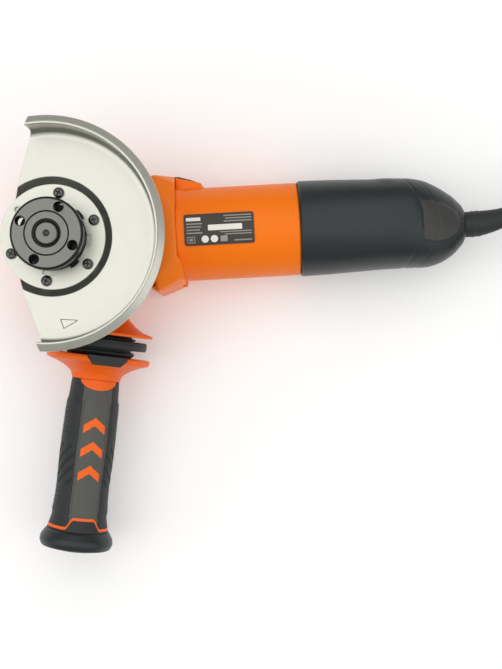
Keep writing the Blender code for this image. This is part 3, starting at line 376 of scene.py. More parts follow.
def carved(made, *others, operation="DIFFERENCE", angle=32):
    """Cuts the others out of the object, or joins them on, and removes them."""
    for other in others:
        step = made.modifiers.new(other.name, "BOOLEAN")
        step.operation = operation
        step.object = other
        step.solver = "MANIFOLD"
    baked_down(made, angle)
    slots = made.data.materials
    # the solver leaves an empty slot behind, which would shift the next finish
    while slots and slots[-1] is None:
        slots.pop()
    for other in others:
        bpy.data.objects.remove(other)
    return made


def joined(name, *pieces):
    """Several pieces as one object that keeps each piece's finish."""
    shape = bmesh.new()
    looks = []
    for piece in pieces:
        for look in piece.data.materials:
            if look not in looks:
                looks.append(look)
    for piece in pieces:
        start = len(shape.faces)
        shape.from_mesh(piece.data)
        shape.faces.ensure_lookup_table()
        own = list(piece.data.materials)
        for face in shape.faces[start:]:
            face.material_index = looks.index(own[face.material_index])
    made = bpy.data.objects.new(name, bpy.data.meshes.new(name))
    shape.to_mesh(made.data)
    shape.free()
    bpy.context.scene.collection.objects.link(made)
    for look in looks:
        made.data.materials.append(look)
    for piece in pieces:
        bpy.data.objects.remove(piece)
    return shaded(made, 32)


def polar(radius, degrees, z=0.0):
    a = math.radians(degrees)
    return Vector((radius * math.cos(a), radius * math.sin(a), z))


def ready(piece, body, slot, *nodes):
    """Hangs the piece on the body it rides on and hides the CAD nodes that it stands for. The slot, a
    finish name, is not used.
    """
    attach(piece, body)
    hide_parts(*nodes)
    print(piece.name, "on", body, "-", len(piece.data.polygons)
          if piece.type == "MESH" else "curve")
    return piece


print("helpers ready")

# %% [markdown]
# ## The cord
#
# A grinder's cord is a rubber lead of a fixed length, here 2.22 m. Near the tool we choose its route,
# straight out of the boot and then down to the table. The rest is wound up as for
# storage: nine strands side by side and on each other, a diameter apart. A loop works out the
# turns. In the last part of each turn every strand moves over to the next place in the bundle, and
# swings out a little at the corners of the bundle, so that no two strands cut into each other.

# %% Route of the cord
CORD_D = 7.4
LEAD_POINTS = [Vector(p) * MM for p in (
    (322.5, 13.8, 27.2), (332.0, 16.0, 24.3), (341.5, 15.7, 20.4), (351.0, 13.2, 16.0),
    (360.0, 9.6, 11.8),
    (368.6, 4.9, 8.2), (377.0, -1.4, 5.5), (385.0, -8.2, 4.2), (392.4, -15.3, 3.8))]
COIL_CENTRE = Vector((378.0, -70.0, 0.0)) * MM
COIL_R = 41.5
COIL_LIFT = 0.9
FIRST_ANGLE, LAST_ANGLE = 45.0, 0.0
STRANDS = ((1, 0), (0, 0), (-1, 0), (-1, 1), (-1, 2), (0, 2), (0, 1), (1, 1), (1, 2))
SWING = {3: (-0.3, 0.0), 2: (-0.3, 0.0), 4: (0.0, 0.2), 7: (0.3, 0.0)}
STEPS_PER_TURN = 40


def smooth_path(points, step):
    """Points about a step apart on a Catmull-Rom curve through the given ones."""
    ends = [points[0] * 2 - points[1], *points, points[-1] * 2 - points[-2]]
    path = []
    for a, b, c, d in zip(ends, ends[1:], ends[2:], ends[3:]):
        parts = max(1, round((c - b).length / step))
        for i in range(parts):
            path.append(between(a, b, c, d, i / parts))
    return path + [points[-1]]


def strand_point(turns):
    """A point on the coil, so many turns after its start."""
    number = int(turns)
    share = turns - number
    here, there = STRANDS[number], STRANDS[min(number + 1, len(STRANDS) - 1)]
    t = min(max((share - 0.60) / 0.37, 0.0), 1.0)
    move = (1 - math.cos(math.pi * t)) / 2
    out, up = SWING.get(number, (0.0, 0.0))
    bulge = math.sin(math.pi * t) ** 2
    column = here[0] + (there[0] - here[0]) * move + out * bulge
    row = here[1] + (there[1] - here[1]) * move + up * bulge
    radius = (COIL_R + column * CORD_D) * MM
    return COIL_CENTRE + polar(radius, FIRST_ANGLE - 360 * turns,
                               (COIL_LIFT + CORD_D * (row + 0.5)) * MM)


all_turns = len(STRANDS) - 1 + (FIRST_ANGLE - LAST_ANGLE) / 360
coil_points = [strand_point(all_turns * i / round(all_turns * STEPS_PER_TURN))
               for i in range(round(all_turns * STEPS_PER_TURN) + 1)]
plug_start = Vector((426.9, -99.2, 18.5)) * MM
route = smooth_path(LEAD_POINTS, 4 * MM)
route += [route[-1].lerp(coil_points[0], share) for share in (0.25, 0.5, 0.75)] + coil_points
route += [coil_points[-1].lerp(plug_start, share) for share in (0.25, 0.5, 0.75, 1.0)]
cord_length = sum((b - a).length for a, b in zip(route, route[1:]))
print("cord length", round(cord_length, 3), "m in", len(route), "points")

# %% [markdown]
# The cord itself is a curve with a round bevel. A curve keeps its centreline, so its length and its
# bends can still be measured after it has got its thickness.

# %% Draw the cord
curve = bpy.data.curves.new("cord", "CURVE")
curve.dimensions = "3D"
curve.bevel_depth = CORD_D / 2 * MM
curve.bevel_resolution = 5
curve.use_fill_caps = True
spline = curve.splines.new("POLY")
spline.points.add(len(route) - 1)
for corner, point in zip(spline.points, route):
    corner.co = (*point, 1.0)
spline.use_smooth = True
curve.materials.append(LOOKS["cord_sheath"])
cord = bpy.data.objects.new("cord", curve)
bpy.context.scene.collection.objects.link(cord)
ready(cord, "body", "rubber", "cord_run", "cord_coil")

# %% [markdown]
# ## The tie and the plug
#
# A flat strap holds the turns together. It goes round the bundle, so its outline is a rounded
# square across the bundle, and each point of the outline carries a small flat section.

# %% Tie the coil
TIE_ANGLE = -100.0
TIE_WIDTH, TIE_THICK = 9.0, 0.7
half_bundle = 1.5 * CORD_D + 0.35
tie_out = polar(1.0, TIE_ANGLE)
tie_along = polar(1.0, TIE_ANGLE - 90)
middle = COIL_CENTRE + tie_out * COIL_R * MM + Vector((0, 0, (COIL_LIFT + 1.5 * CORD_D) * MM))


def tie_ring(grow, side):
    """The strap's inner or outer outline at one of its two sides."""
    half = half_bundle + grow
    corners = [(-half, -half, 3.4), (half, -half, 3.4), (half, half, 3.4), (-half, half, 3.4)]
    return [middle + (tie_out * u + Vector((0, 0, v)) + tie_along * side * TIE_WIDTH / 2) * MM
            for u, v in eased(corners, 8)]


tie = settle("cord_tie", lofted([tie_ring(0.0, -1), tie_ring(TIE_THICK, -1), tie_ring(TIE_THICK, 1),
                                 tie_ring(0.0, 1)], ring_shaped=True), "black_plastic")
ready(tie, "body", "black_plastic")

# %% [markdown]
# The plug is moulded in one with its cord. It is turned round its own axis: first a long taper that
# stops the cord from kinking, then a body with grip rings. Two brass pins stand in its face.

# %% Mould the plug
PLUG_AXIS = Matrix.Translation(plug_start) @ tilt(90, "X")
taper = [(0, 0), (3.95, 0, 0.4), (4.5, 4), (4.9, 8), (5.6, 14), (6.4, 19), (7.4, 24)]
rings = [(12.0, 31, 4), (16.6, 36, 3)]
for k in range(4):
    z = 38.5 + 3.4 * k
    rings += [(18.1, z, 0.5), (18.1, z + 1.8, 0.5), (17.2, z + 2.2, 0.4), (17.2, z + 3.0, 0.4)]
face = [(17.8, 53, 0.6), (17.6, 56, 1.0), (15.0, 56, 0.3), (14.6, 55.2, 0.3), (0, 55.2)]
plug = settle("plug_body", turned(eased(taper + rings + face, 3), 64, closed=False), "rubber",
              place=PLUG_AXIS)
pins = []
for side in (-1, 1):
    pin = turned(eased([(0, 53.5), (2.4, 53.5), (2.4, 73.5, 1.2), (1.5, 75, 0.4), (0, 75)], 3), 24,
                 closed=False)
    bmesh.ops.translate(pin, vec=(side * 9.5 * MM, 0, 0), verts=pin.verts)
    pins.append(settle(f"plug_pin_{side}", pin, "brass", place=PLUG_AXIS))
pins = carved(pins[0], pins[1], operation="UNION")
pins.name = "plug_pins"
ready(plug, "body", "rubber", "plug")
ready(pins, "body", "brass")

# %% [markdown]
# ## Two node trees for what repeats
#
# Screws, ribs and slots repeat by a rule, so Geometry Nodes place them: one tree sets copies of a
# template round a circle, the other sets them in a row. The sizes are named inputs on the modifier.
# Each tree ends in Realize Instances and Set Material, and its result is kept as a plain mesh.

# %% Build the two trees
def new_tree(name, inputs):
    """An empty Geometry Nodes tree with its inputs and one geometry output."""
    tree = bpy.data.node_groups.new(name, "GeometryNodeTree")
    for label, kind, value in inputs:
        made = tree.interface.new_socket(label, in_out="INPUT", socket_type=kind)
        if value is not None:
            made.default_value = value
    tree.interface.new_socket("Geometry", in_out="OUTPUT", socket_type="NodeSocketGeometry")
    return tree, tree.nodes.new("NodeGroupInput").outputs, tree.nodes.new("NodeGroupOutput").inputs


def copies_on(tree, given, points, turn, chosen=None):
    """Puts the template on the points, each with its own small random turn, and ends the tree."""
    template = node(tree, "GeometryNodeObjectInfo", {"Object": given["Template"]})
    random_turn = node(tree, "FunctionNodeRandomValue",
                       {2: 0.0, 3: given["Random turn"], "Seed": 7}, data_type="FLOAT")
    turned_by = node(tree, "ShaderNodeMath", {0: turn, 1: random_turn.outputs[1]}, operation="ADD")
    rotation = node(tree, "ShaderNodeCombineXYZ", {"Z": turned_by.outputs[0]})
    values = {"Points": points, "Instance": template.outputs["Geometry"],
              "Rotation": rotation.outputs[0]}
    if chosen:
        values["Selection"] = chosen
    placed = node(tree, "GeometryNodeInstanceOnPoints", values)
    solid = node(tree, "GeometryNodeRealizeInstances", {0: placed.outputs[0]})
    return node(tree, "GeometryNodeSetMaterial",
                {0: solid.outputs[0], "Material": given["Finish"]}).outputs[0]


SHARED_INPUTS = (("Template", "NodeSocketObject", None), ("Finish", "NodeSocketMaterial", None),
                 ("Count", "NodeSocketInt", 6), ("Random turn", "NodeSocketFloat", 0.0))

ring_tree, given, result = new_tree("copies_in_a_ring", SHARED_INPUTS + (
    ("Radius", "NodeSocketFloat", 0.01), ("First angle", "NodeSocketFloat", 0.0),
    ("Left out", "NodeSocketInt", -1)))
circle = node(ring_tree, "GeometryNodeMeshCircle",
              {"Vertices": given["Count"], "Radius": given["Radius"]})
spun = node(ring_tree, "GeometryNodeTransform", {
    0: circle.outputs[0], "Rotation": node(ring_tree, "ShaderNodeCombineXYZ",
                                           {"Z": given["First angle"]}).outputs[0]})
index = node(ring_tree, "GeometryNodeInputIndex").outputs[0]
kept = node(ring_tree, "FunctionNodeCompare", {2: index, 3: given["Left out"]}, data_type="INT",
            operation="NOT_EQUAL")
share = node(ring_tree, "ShaderNodeMath", {0: index, 1: given["Count"]}, operation="DIVIDE")
around = node(ring_tree, "ShaderNodeMath", {0: share.outputs[0], 1: math.tau}, operation="MULTIPLY")
facing = node(ring_tree, "ShaderNodeMath", {0: around.outputs[0], 1: given["First angle"]},
              operation="ADD")
ring_tree.links.new(copies_on(ring_tree, given, spun.outputs[0], facing.outputs[0],
                              kept.outputs[0]), result[0])

row_tree, given, result = new_tree("copies_in_a_row", SHARED_INPUTS + (
    ("Start", "NodeSocketVector", None), ("Step", "NodeSocketVector", None)))
line = node(row_tree, "GeometryNodeMeshLine", {"Count": given["Count"],
                                               "Start Location": given["Start"],
                                               "Offset": given["Step"]})
row_tree.links.new(copies_on(row_tree, given, line.outputs[0], 0.0), result[0])


def grown(name, tree, template, look, angle=32, **inputs):
    """Runs one of the trees on an empty object and keeps what it makes as a plain mesh."""
    made = bpy.data.objects.new(name, bpy.data.meshes.new(name))
    bpy.context.scene.collection.objects.link(made)
    step = made.modifiers.new(tree.name, "NODES")
    step.node_group = tree
    sockets = {item.name: item.identifier for item in tree.interface.items_tree
               if item.in_out == "INPUT"}
    step[sockets["Template"]] = template
    step[sockets["Finish"]] = LOOKS[look]
    for key, value in inputs.items():
        step[sockets[key.replace("_", " ").capitalize()]] = value
    baked_down(made, angle)
    bpy.data.objects.remove(template)
    return made


print("trees:", ring_tree.name, "and", row_tree.name)

# %% [markdown]
# ## The guard
#
# The guard is pressed from one steel sheet: a sunk hub with a conical step, a flat plate, a skirt
# and a lip rolled outwards. Its section never changes, so the quickest true way to make it is to
# spin the section and then cut the mouth, the lug notches and the screw holes out of it.

# %% Press the guard
HUB_R, HUB_TOP, PLATE_TOP, SKIRT_R, RIM_TOP, LIP_R, SHEET = 33.0, 67.5, 71.0, 66.5, 95.0, 71.9, 1.5
GUARD_SCREW_R, GUARD_SCREW_ANGLE = 27.8, 19.2

guard_section = eased([
    (21.0, HUB_TOP), (HUB_R, HUB_TOP, 1.3), (37.5, PLATE_TOP, 1.6), (SKIRT_R, PLATE_TOP, 5.5),
    (SKIRT_R, 93.4, 0.5), (SKIRT_R - 0.5, 94.2, 0.2), (SKIRT_R - 0.2, RIM_TOP, 0.25),
    (SKIRT_R + 0.7, RIM_TOP, 0.3),
    (SKIRT_R + 1.3, 94.3, 0.3), (LIP_R, 91.6, 0.9), (LIP_R - 0.5, 89.5, 0.7),
    (SKIRT_R + SHEET, 91.0, 0.5),
    (SKIRT_R + SHEET, PLATE_TOP - SHEET, 6.8), (38.1, PLATE_TOP - SHEET, 1.4),
    (33.6, HUB_TOP - SHEET, 1.2), (21.0, HUB_TOP - SHEET)], 6)
guard = settle("guard", turned(guard_section, 256), "plated_steel")

upper_end = math.degrees(math.atan2(24.6, -22.0))
hub_arc = [polar(HUB_R, upper_end + (360 - 2 * upper_end) * i / 48)[:2] for i in range(49)]
mouth = [(-5, 80), *hub_arc, (-5, -80), (-130, -80), (-130, 80)]
cutters = [settle("mouth", prism(mouth, 50, 110))]
for k in range(4):
    notch = [polar(r, 81 + 90 * k + turn)[:2]
             for r, turn in ((19, -11), (24, -10), (24.2, -4), (24.3, 0), (24.2, 4), (24, 10),
                             (19, 11))]
    cutters.append(settle("notch", prism(notch, 60, 75)))
for k in range(6):
    hole = turned([(0, 60), (1.8, 60), (1.8, HUB_TOP - 0.5), (2.4, HUB_TOP + 0.3),
                   (0, HUB_TOP + 0.3)], 28, False)
    cutters.append(settle("hole", hole, place=Matrix.Translation(
        polar(GUARD_SCREW_R, GUARD_SCREW_ANGLE + 60 * k) * MM)))
carved(guard, *cutters)

# %% [markdown]
# A raised triangle on the plate shows which way the disc turns, and a small pressed collar stands
# round the one screw hole that is left empty. Both are ring-shaped lofts that sit in the sheet.

# %% Emboss the plate
def ring_of_outline(outer, inner, low, high):
    """A raised rim between two outlines with the same number of points."""
    return lofted([[(x * MM, y * MM, z * MM) for x, y in outline]
                   for outline, z in ((outer, low), (outer, high), (inner, high), (inner, low))],
                  ring_shaped=True)


triangle = [Vector(p) for p in ((2.4, -51.6), (14.0, -52.9), (4.3, -57.9))]
centroid = sum(triangle, Vector((0, 0))) / 3
outlines = [eased([(*(centroid + (p - centroid) * grow), 0.4) for p in triangle], 3)
            for grow in (1.0, 0.87)]
arrow = settle("arrow", ring_of_outline(*outlines, PLATE_TOP - 0.3, PLATE_TOP + 0.25), "dark_steel")
collar = turned(eased([(1.85, HUB_TOP - 0.4), (1.85, HUB_TOP + 0.7, 0.1),
                       (2.6, HUB_TOP + 0.7, 0.15),
                       (2.75, HUB_TOP - 0.4)], 3), 32)
collar = settle("collar", collar, "plated_steel",
                place=Matrix.Translation(polar(GUARD_SCREW_R, GUARD_SCREW_ANGLE + 120) * MM))
carved(guard, collar, operation="UNION")
guard = joined("guard_pressed", guard, arrow)
ready(guard, "guard", "plated_steel", "guard_shell")

# %% [markdown]
# ## The guard's screws
#
# Five pan-head screws with a cross recess hold the guard to its collar. One template is cut once,
# and the ring tree sets it on five of the six places, each turned a little differently, as real
# screws end up.

# %% Drive the guard's screws
def screw_template(head_r, seat, top, shank_r, shank_low, cross, sink):
    """A pan-head screw on the Z axis with a cross recess, in millimetres."""
    made = settle("screw", turned(eased([
        (0, shank_low), (shank_r, shank_low), (shank_r, seat), (head_r, seat, 0.15),
        (head_r, top - 0.9, 0.8), (head_r * 0.62, top, 0.9), (0, top)], 3), 40, closed=False),
                  "black_screw")
    bars = [settle("bar", brick((-cross, -0.24 * cross, top - sink),
                                (cross, 0.24 * cross, top + 1))),
            settle("bar", brick((-0.24 * cross, -cross, top - sink),
                                (0.24 * cross, cross, top + 1)))]
    return carved(made, *bars)


guard_screws = grown("guard_screws", ring_tree,
                     screw_template(3.4, 67.8, 70.1, 1.45, 63.3, 1.9, 1.1), "black_screw",
                     count=6, radius=GUARD_SCREW_R * MM,
                     first_angle=math.radians(GUARD_SCREW_ANGLE), left_out=2,
                     random_turn=math.tau)
# The faces inside each cross recess get the darker blackened finish: painted shade in the recess.
guard_screws.data.materials.append(LOOKS["blackened_steel"])
for face in guard_screws.data.polygons:
    x, y, z = face.center / MM
    turn = math.degrees(math.atan2(y, x)) - GUARD_SCREW_ANGLE
    middle = polar(GUARD_SCREW_R, GUARD_SCREW_ANGLE + 60 * round(turn / 60))
    if math.hypot(x - middle.x, y - middle.y) < 2.0 and 68.8 < z < 70.05:
        face.material_index = 1
ready(guard_screws, "guard", "black_screw", *[f"guard_screw_{i}" for i in range(1, 6)])

# %% [markdown]
# ## The clamping nut, its flanges and the spindle
#
# These parts are turned on a lathe, so they are spun here too. The nut has four holes for the pin
# wrench and a thin turned groove. The spindle's M14 thread is a true helix: on each ring of points
# the radius depends on the angle as well as on the height, so the ridges climb as they go round.

# %% Turn the nut and the flanges
nut = settle("clamping_nut_turned", turned(eased([
    (7.4, 83.0), (8.2, 82.2, 0.2), (19, 82.2, 0.4), (22.3, 84.7, 0.6), (22.3, 92.4, 1.5),
    (13.9, 92.4, 0.1), (13.4, 91.8), (12.9, 92.4, 0.1), (8.9, 92.4, 0.3), (8.6, 91.6, 0.2),
    (7.4, 91.2)], 5), 160),
    "dark_steel")
holes = []
for k in range(4):
    hole = turned([(0, 78), (2.9, 78), (2.9, 91.9), (3.4, 92.6), (0, 92.6)], 36, closed=False)
    holes.append(settle("hole", hole, place=Matrix.Translation(polar(17.5, 62 + 90 * k) * MM)))
carved(nut, *holes)
# The faces in the pin holes, the groove and the bore get the darker blackened finish, painted shade
# in these recesses; the outer rim and side from a radius of 20.9 mm and the underside get it too.
nut.data.materials.append(LOOKS["blackened_steel"])
for face in nut.data.polygons:
    x, y, z = face.center / MM
    if math.hypot(x, y) > 20.9 or z < 92.2 and math.hypot(x, y) > 12.6 or math.hypot(x, y) < 8.9:
        face.material_index = 1
ready(nut, "spindle_assembly", "dark_steel", "clamping_nut")

flange = settle("inner_flange_turned", turned(eased([
    (7.3, 72.4), (17, 72.4, 0.5), (19.5, 74, 0.5), (19.5, 79, 0.4), (14, 79, 0.3), (14, 78, 0.2),
    (11, 78, 0.2),
    (11, 81.6, 0.4), (7.3, 81.6)], 4), 128), "blackened_steel")
flats = [settle("flat", brick((side * 22.5 - 5, -30, 70), (side * 22.5 + 5, 30, 76)))
         for side in (-1, 1)]
carved(flange, *flats)
ready(flange, "spindle_assembly", "dark_steel", "inner_flange")

THREAD_PITCH, THREAD_DEPTH = 2.0, 0.85


def spindle_ring(radius, z, threaded, steps=72):
    """One ring of the spindle. On the thread the radius also follows the helix."""
    ring = []
    for i in range(steps):
        turn = i / steps
        phase = (z / THREAD_PITCH - turn) % 1.0
        dip = THREAD_DEPTH * (1 - abs(2 * phase - 1)) if threaded else 0.0
        ring.append(polar(radius - dip, 360 * turn, z) * MM)
    return ring


levels = [(3.6, 14.6, 0), (4, 15, 0), (4, 21.2, 0), (6, 22, 0), (6, 61.5, 0), (9, 61.5, 0),
          (9, 71.6, 0),
          (8.6, 72, 0), (6.2, 72, 0), (6.2, 73.2, 0)]
levels += [(6.95, 73.6 + 0.2 * k, 1) for k in range(90)]
levels += [(6.9, 92.0, 0), (6.1, 92.8, 0), (2.2, 92.8, 0), (1.2, 91.2, 0), (0.3, 90.5, 0)]
spindle = settle("spindle_turned", lofted([spindle_ring(*level) for level in levels]), "dark_steel",
                 angle=28)
ready(spindle, "spindle_assembly", "bright_steel", "spindle")

# The cast cover gets the dark blackened finish, so that the gaps between the nut and the guard's hub
# read black: painted shade.
cover = settle("bearing_cover", turned(eased([
    (16.2, 49.8), (20, 49.8, 0.3), (20, 54, 0.2), (27.6, 54), (27.6, 60.3), (32, 60.3, 0.3),
    (32, 62.6, 0.5),
    (20.4, 62.6, 0.5), (20.4, 71, 1.0), (9.6, 71, 0.3), (9.6, 60.6), (16.2, 60.6)], 4), 128),
               "blackened_steel")
lugs = []
for k in range(4):
    lug = [polar(r, 36 + 90 * k + turn)[:2]
           for r, turn in ((18, -9), (23, -8), (23.2, -4), (23.25, 0), (23.2, 4), (23, 8), (18, 9))]
    lugs.append(settle("lug", prism(lug, 67.9, 69.9)))
carved(cover, *lugs, operation="UNION")
ready(cover, "body", "die_cast", "bearing_flange")

# %% [markdown]
# ## The gear case
#
# The gear case is an aluminium casting, painted orange. A casting has no sharp inner corners: metal
# flows round them. So the case is built rough, as hulls of a few rings joined together, then
# remeshed into small even faces and smoothed a little, which rounds each joint like a fillet.
# The machined places, such as slots, bores and screw pockets, are cut last and stay crisp.

# %% Helpers for the body sections
MOTOR_Z = 34.0


def section(x, half_width, low, high, power, count):
    """A ring of a body along X: power 2 makes an ellipse, and a higher power a squarer ring."""
    ring = []
    for i in range(count):
        a = math.tau * i / count
        c, s = math.cos(a), math.sin(a)
        y = half_width * math.copysign(abs(c) ** (2 / power), c)
        reach = (high - MOTOR_Z) if s > 0 else (MOTOR_Z - low)
        ring.append(Vector((x, y, MOTOR_Z + reach * math.copysign(abs(s) ** (2 / power), s))) * MM)
    return ring


def hull_of(points):
    shape = bmesh.new()
    found = bmesh.ops.convex_hull(shape, input=[shape.verts.new(p) for p in points])
    loose = set(found["geom_interior"] + found["geom_unused"])
    bmesh.ops.delete(shape, geom=[v for v in loose if isinstance(v, bmesh.types.BMVert)],
                     context="VERTS")
    return shape


def boss_matrix(side):
    """A frame on the handle's axis: Z along it, outwards, and Y up."""
    lean = math.radians(10)
    out = Vector((-math.sin(lean), side * math.cos(lean), 0))
    across = Vector((0, 0, 1)).cross(out)
    turn = Matrix((across, (0, 0, 1), out)).transposed()
    return at(34.0, 0, 34.3) @ turn.to_4x4()


MOTOR_AXIS = at(0, 0, MOTOR_Z) @ tilt(90, "Y")

# %% Cast the gear case
CASE_END = 76.8
CASE_SCREW_Y, CASE_SCREW_RISE, CASE_SCREW_SEAT = 29.5, 22.5, 65.0
LOCK_X = -12
body_points = []
for r, z in ((26.4, 0), (31.2, 3.4), (33, 9), (33, 58.2), (32.4, 59.4), (31, 60)):
    body_points += [polar(r, 360 * i / 96, z) * MM for i in range(96)]
neck = section(54, 31, 0.0, 60, 6, 64)
FLARE_ENDS = (
    # the two outlines of the flare, from the top round to the foot, as (y, z)
    (63.5, ((13, 67.8), (27, 65.4), (37.2, 57), (38, 44), (38, 6), (33, 0)),
     ((-13, 67.8), (-28, 65.2), (-37, 57), (-37.8, 44), (-37.8, 6), (-33, 0))),
    (CASE_END, ((13.8, 68.2), (17.3, 67.2), (31, 59.5), (36, 50), (36.9, 41), (36.9, 8), (32, 0.2)),
     ((-15.8, 68.2), (-20, 66.8), (-30.5, 60), (-33.2, 50), (-33.2, 8), (-29, 0.2))))
flare = [Vector((x, y, z)) * MM for x, *outlines in FLARE_ENDS for outline in outlines for y,
         z in outline]
case = settle("gear_case_cast", hull_of(body_points + neck), "orange_paint")
lumps = [settle("flare", hull_of(neck + flare))]
CASE_CORNERS = (
    ((74, -15.8, 68.2), (76.8, -15.9, 68.3), (79.4, -19.0, 66.9), (74, -30.0, 60),
     (80.3, -30.2, 58.5),
     (80.5, -31.6, 42), (74, -33.6, 42), (80.5, -31.6, 28), (74, -33.6, 22), (72, -22, 50)),
    ((72, 13.6, 68.2), (75.4, 13.9, 68.3), (77.9, 17.4, 67.3), (74, 25, 63.4), (77.4, 25, 62.8),
     (72, 20, 58)))
for points in CASE_CORNERS:
    lumps.append(settle("corner", hull_of([Vector(p) * MM for p in points])))
for side in (-1, 1):
    boss = turned(eased([(0, 22), (16.5, 22), (16.5, 36, 1.5), (15, 44, 0.8), (0, 44)], 3), 64,
                  closed=False)
    lumps.append(settle("boss", boss, place=boss_matrix(side)))
carved(case, *lumps, operation="UNION")
remesh = case.modifiers.new("remesh", "REMESH")
remesh.mode = "VOXEL"
remesh.voxel_size = 0.75 * MM
smooth = case.modifiers.new("smooth", "SMOOTH")
smooth.factor = 0.5
smooth.iterations = 3
baked_down(case)

tools = [
    settle("chamber", rod(28, 21, 75, 96)),
    settle("pinion_bore", rod(13.3, 10, 50, 64), place=MOTOR_AXIS),
    settle("fan_chamber", turned([(0, 46), (19, 46), (31.3, 66), (31.3, 84), (0, 84)], 96,
                                 closed=False),
           place=MOTOR_AXIS),
    settle("bush_seat", rod(7.3, 14.2, 23, 48)),
    settle("slider_clearance", brick((66.6, 32.2, 18.2), (80, 45, 34.8))),
    settle("leg_clearance", brick((74.8, 26.4, 30.4), (80, 36, 34.8))),
    settle("button_recess", turned(eased([(0, -2), (9.6, -2), (9, 0.6, 0.4), (9, 12), (0, 12)], 3),
                                   64, closed=False),
           place=at(LOCK_X, 0, 0)),
    settle("lock_bore", rod(2.6, 10, 23, 32),
           place=at(LOCK_X, 0, 0)),
]
for side in (-1, 1):
    thread = [(0, 25)] + [(4.3 + 0.45 * (k % 2), 26 + 0.75 * k) for k in range(24)] + [(4.9, 45),
                                                                                       (0, 45)]
    tools.append(settle("handle_thread", turned(thread, 40, closed=False), place=boss_matrix(side)))
    low, high = sorted((side * 22, side * 50))
    slot = settle("slot", brick((57, low, 0), (62, high, 5), 0.8))
    tools.append(grown("slots", row_tree, slot, "orange_paint", count=3,
                       start=(0, 0, 20.4 * MM), step=(0, 0, 10 * MM)))
    for rise in (-1, 1):
        axis = at(0, side * CASE_SCREW_Y, MOTOR_Z + rise * CASE_SCREW_RISE)
        axis @= tilt(90, "Y")
        tools.append(settle("pocket", turned([(0, 40), (4.4, 40), (4.4, 65), (2.3, 65), (2.3, 75),
                                              (0, 75)], 40, False),
                            place=axis))
pivot = polar(37.0, 52.5) + polar(13.0, -37.5)
tools.append(settle("lever_hole", rod(1.8, 50, 80, 24),
                    place=Matrix.Translation(pivot * MM)))
carved(case, *tools)
ready(case, "body", "orange_paint", "gear_case")

# %% [markdown]
# Four screws clamp the case's corners to the motor housing. Their heads sit deep in their pockets
# and face forwards, so the template is a screw along Z that the row tree copies, two to a row.

# %% Drive the case screws
rows = []
for rise in (-1, 1):
    screw = screw_template(3.7, 0.3, 3.0, 1.9, -10.6 if rise > 0 else -13.0, 2.0, 1.4)
    pair = grown("case_screws", row_tree, screw, "black_screw", count=2,
                 start=(rise * CASE_SCREW_RISE * MM, -CASE_SCREW_Y * MM, 0),
                 step=(0, 2 * CASE_SCREW_Y * MM, 0), random_turn=math.tau)
    rows.append(pair)
case_screws = carved(rows[0], rows[1], operation="UNION")
case_screws.data.transform(at(CASE_SCREW_SEAT, 0, MOTOR_Z) @ tilt(-90, "Y"))
case_screws.name = "gear_case_screws"
ready(case_screws, "body", "black_screw", *[f"gear_case_screw_{i}" for i in range(1, 5)])

# %% [markdown]
# ## The motor housing
#
# The housing is a plain tube round the motor, with a block on one side that guides the slide
# switch. The tube is a loft: rings of points along X, out along the outside and back along the
# inside, so it is a real shell with its bearing seat. The block is a bevelled prism, hollowed and
# joined on, because it keeps its flat top and its crisp front where the switch slides.

# %% Mould the motor housing
HOUSING_START, HOUSING_END, MOTOR_R = 77.1, 155.0, 30.0


def smoothstep(low, high, value):
    t = min(max((value - low) / (high - low), 0.0), 1.0)
    return t * t * (3 - 2 * t)


def round_ring(x, radius, count=144):
    return section(x, radius, MOTOR_Z - radius, MOTOR_Z + radius, 2, count)


def housing_ring(x):
    """A ring of the housing's tube, which swells a little towards the gear case."""
    return round_ring(x, MOTOR_R + 0.9 * (1 - smoothstep(HOUSING_START, 83, x)))


outside = [round_ring(73.6, 30.7), round_ring(HOUSING_START, 30.7)]
outside += [housing_ring(HOUSING_START + 0.9 * k) for k in range(22)]
outside += [housing_ring(x) for x in (97, 100, 110, 120, 130, 140, 150, 154.2)]
inside = [(HOUSING_END, 29.4), (HOUSING_END, 27), (176, 27), (176, 11.3), (164, 11.3), (164, 13.4),
          (172.5, 13.4),
          (172.5, 25.2), (158, 25.2), (140, 27.9), (92, 28), (84, 28.9), (81, 29.6), (73.6, 29.6)]
housing = settle("motor_housing_moulded", lofted(outside + [round_ring(x, r) for x, r in inside],
                                                 ring_shaped=True),
                 "orange_plastic")
ledge = eased([(HOUSING_START, 24), (94.0, 24), (95.2, 29.6, 0.6), (92.4, 32.9, 1.6),
               (HOUSING_START, 36.8)], 5)
shoulder = settle("shoulder", prism(ledge, 12, 41.0))
bevel = shoulder.modifiers.new("bevel", "BEVEL")
bevel.width = 1.3 * MM
bevel.segments = 3
baked_down(shoulder)
hollow = [(76, 20), (91.0, 20), (91.0, 30.6), (76, 34.6)]
carved(shoulder, settle("hollow", prism(hollow, 14.5, 38.6)),
       settle("tube", rod(29.6, 76, 100, 96), place=MOTOR_AXIS))
screw_bosses = [settle("boss", turned(eased([(0, HOUSING_START), (3.2, HOUSING_START),
                                             (3.2, 80.0, 1.2), (0, 80.6)], 4),
                                      40, closed=False),
                       place=at(0, side * CASE_SCREW_Y, MOTOR_Z - CASE_SCREW_RISE)
                       @ tilt(90, "Y")) for side in (-1, 1)]
webs = []
for side in (-1, 1):
    low, high = sorted((side * 20, side * 28))
    webs.append(settle("web", brick((HOUSING_START, low, 11.5), (80, high, 14.0))))
carved(housing, shoulder, *screw_bosses, *webs, operation="UNION")
tools = [settle("channel", brick((60, 32.2, 18.2), (98, 45, 34.8))),
         settle("slot", brick((75.2, 24, 30.4), (87.2, 36, 34.8))),
         settle("rod_channel", brick((136, 25.0, 30.3), (180, 27.8, 36.7)))]
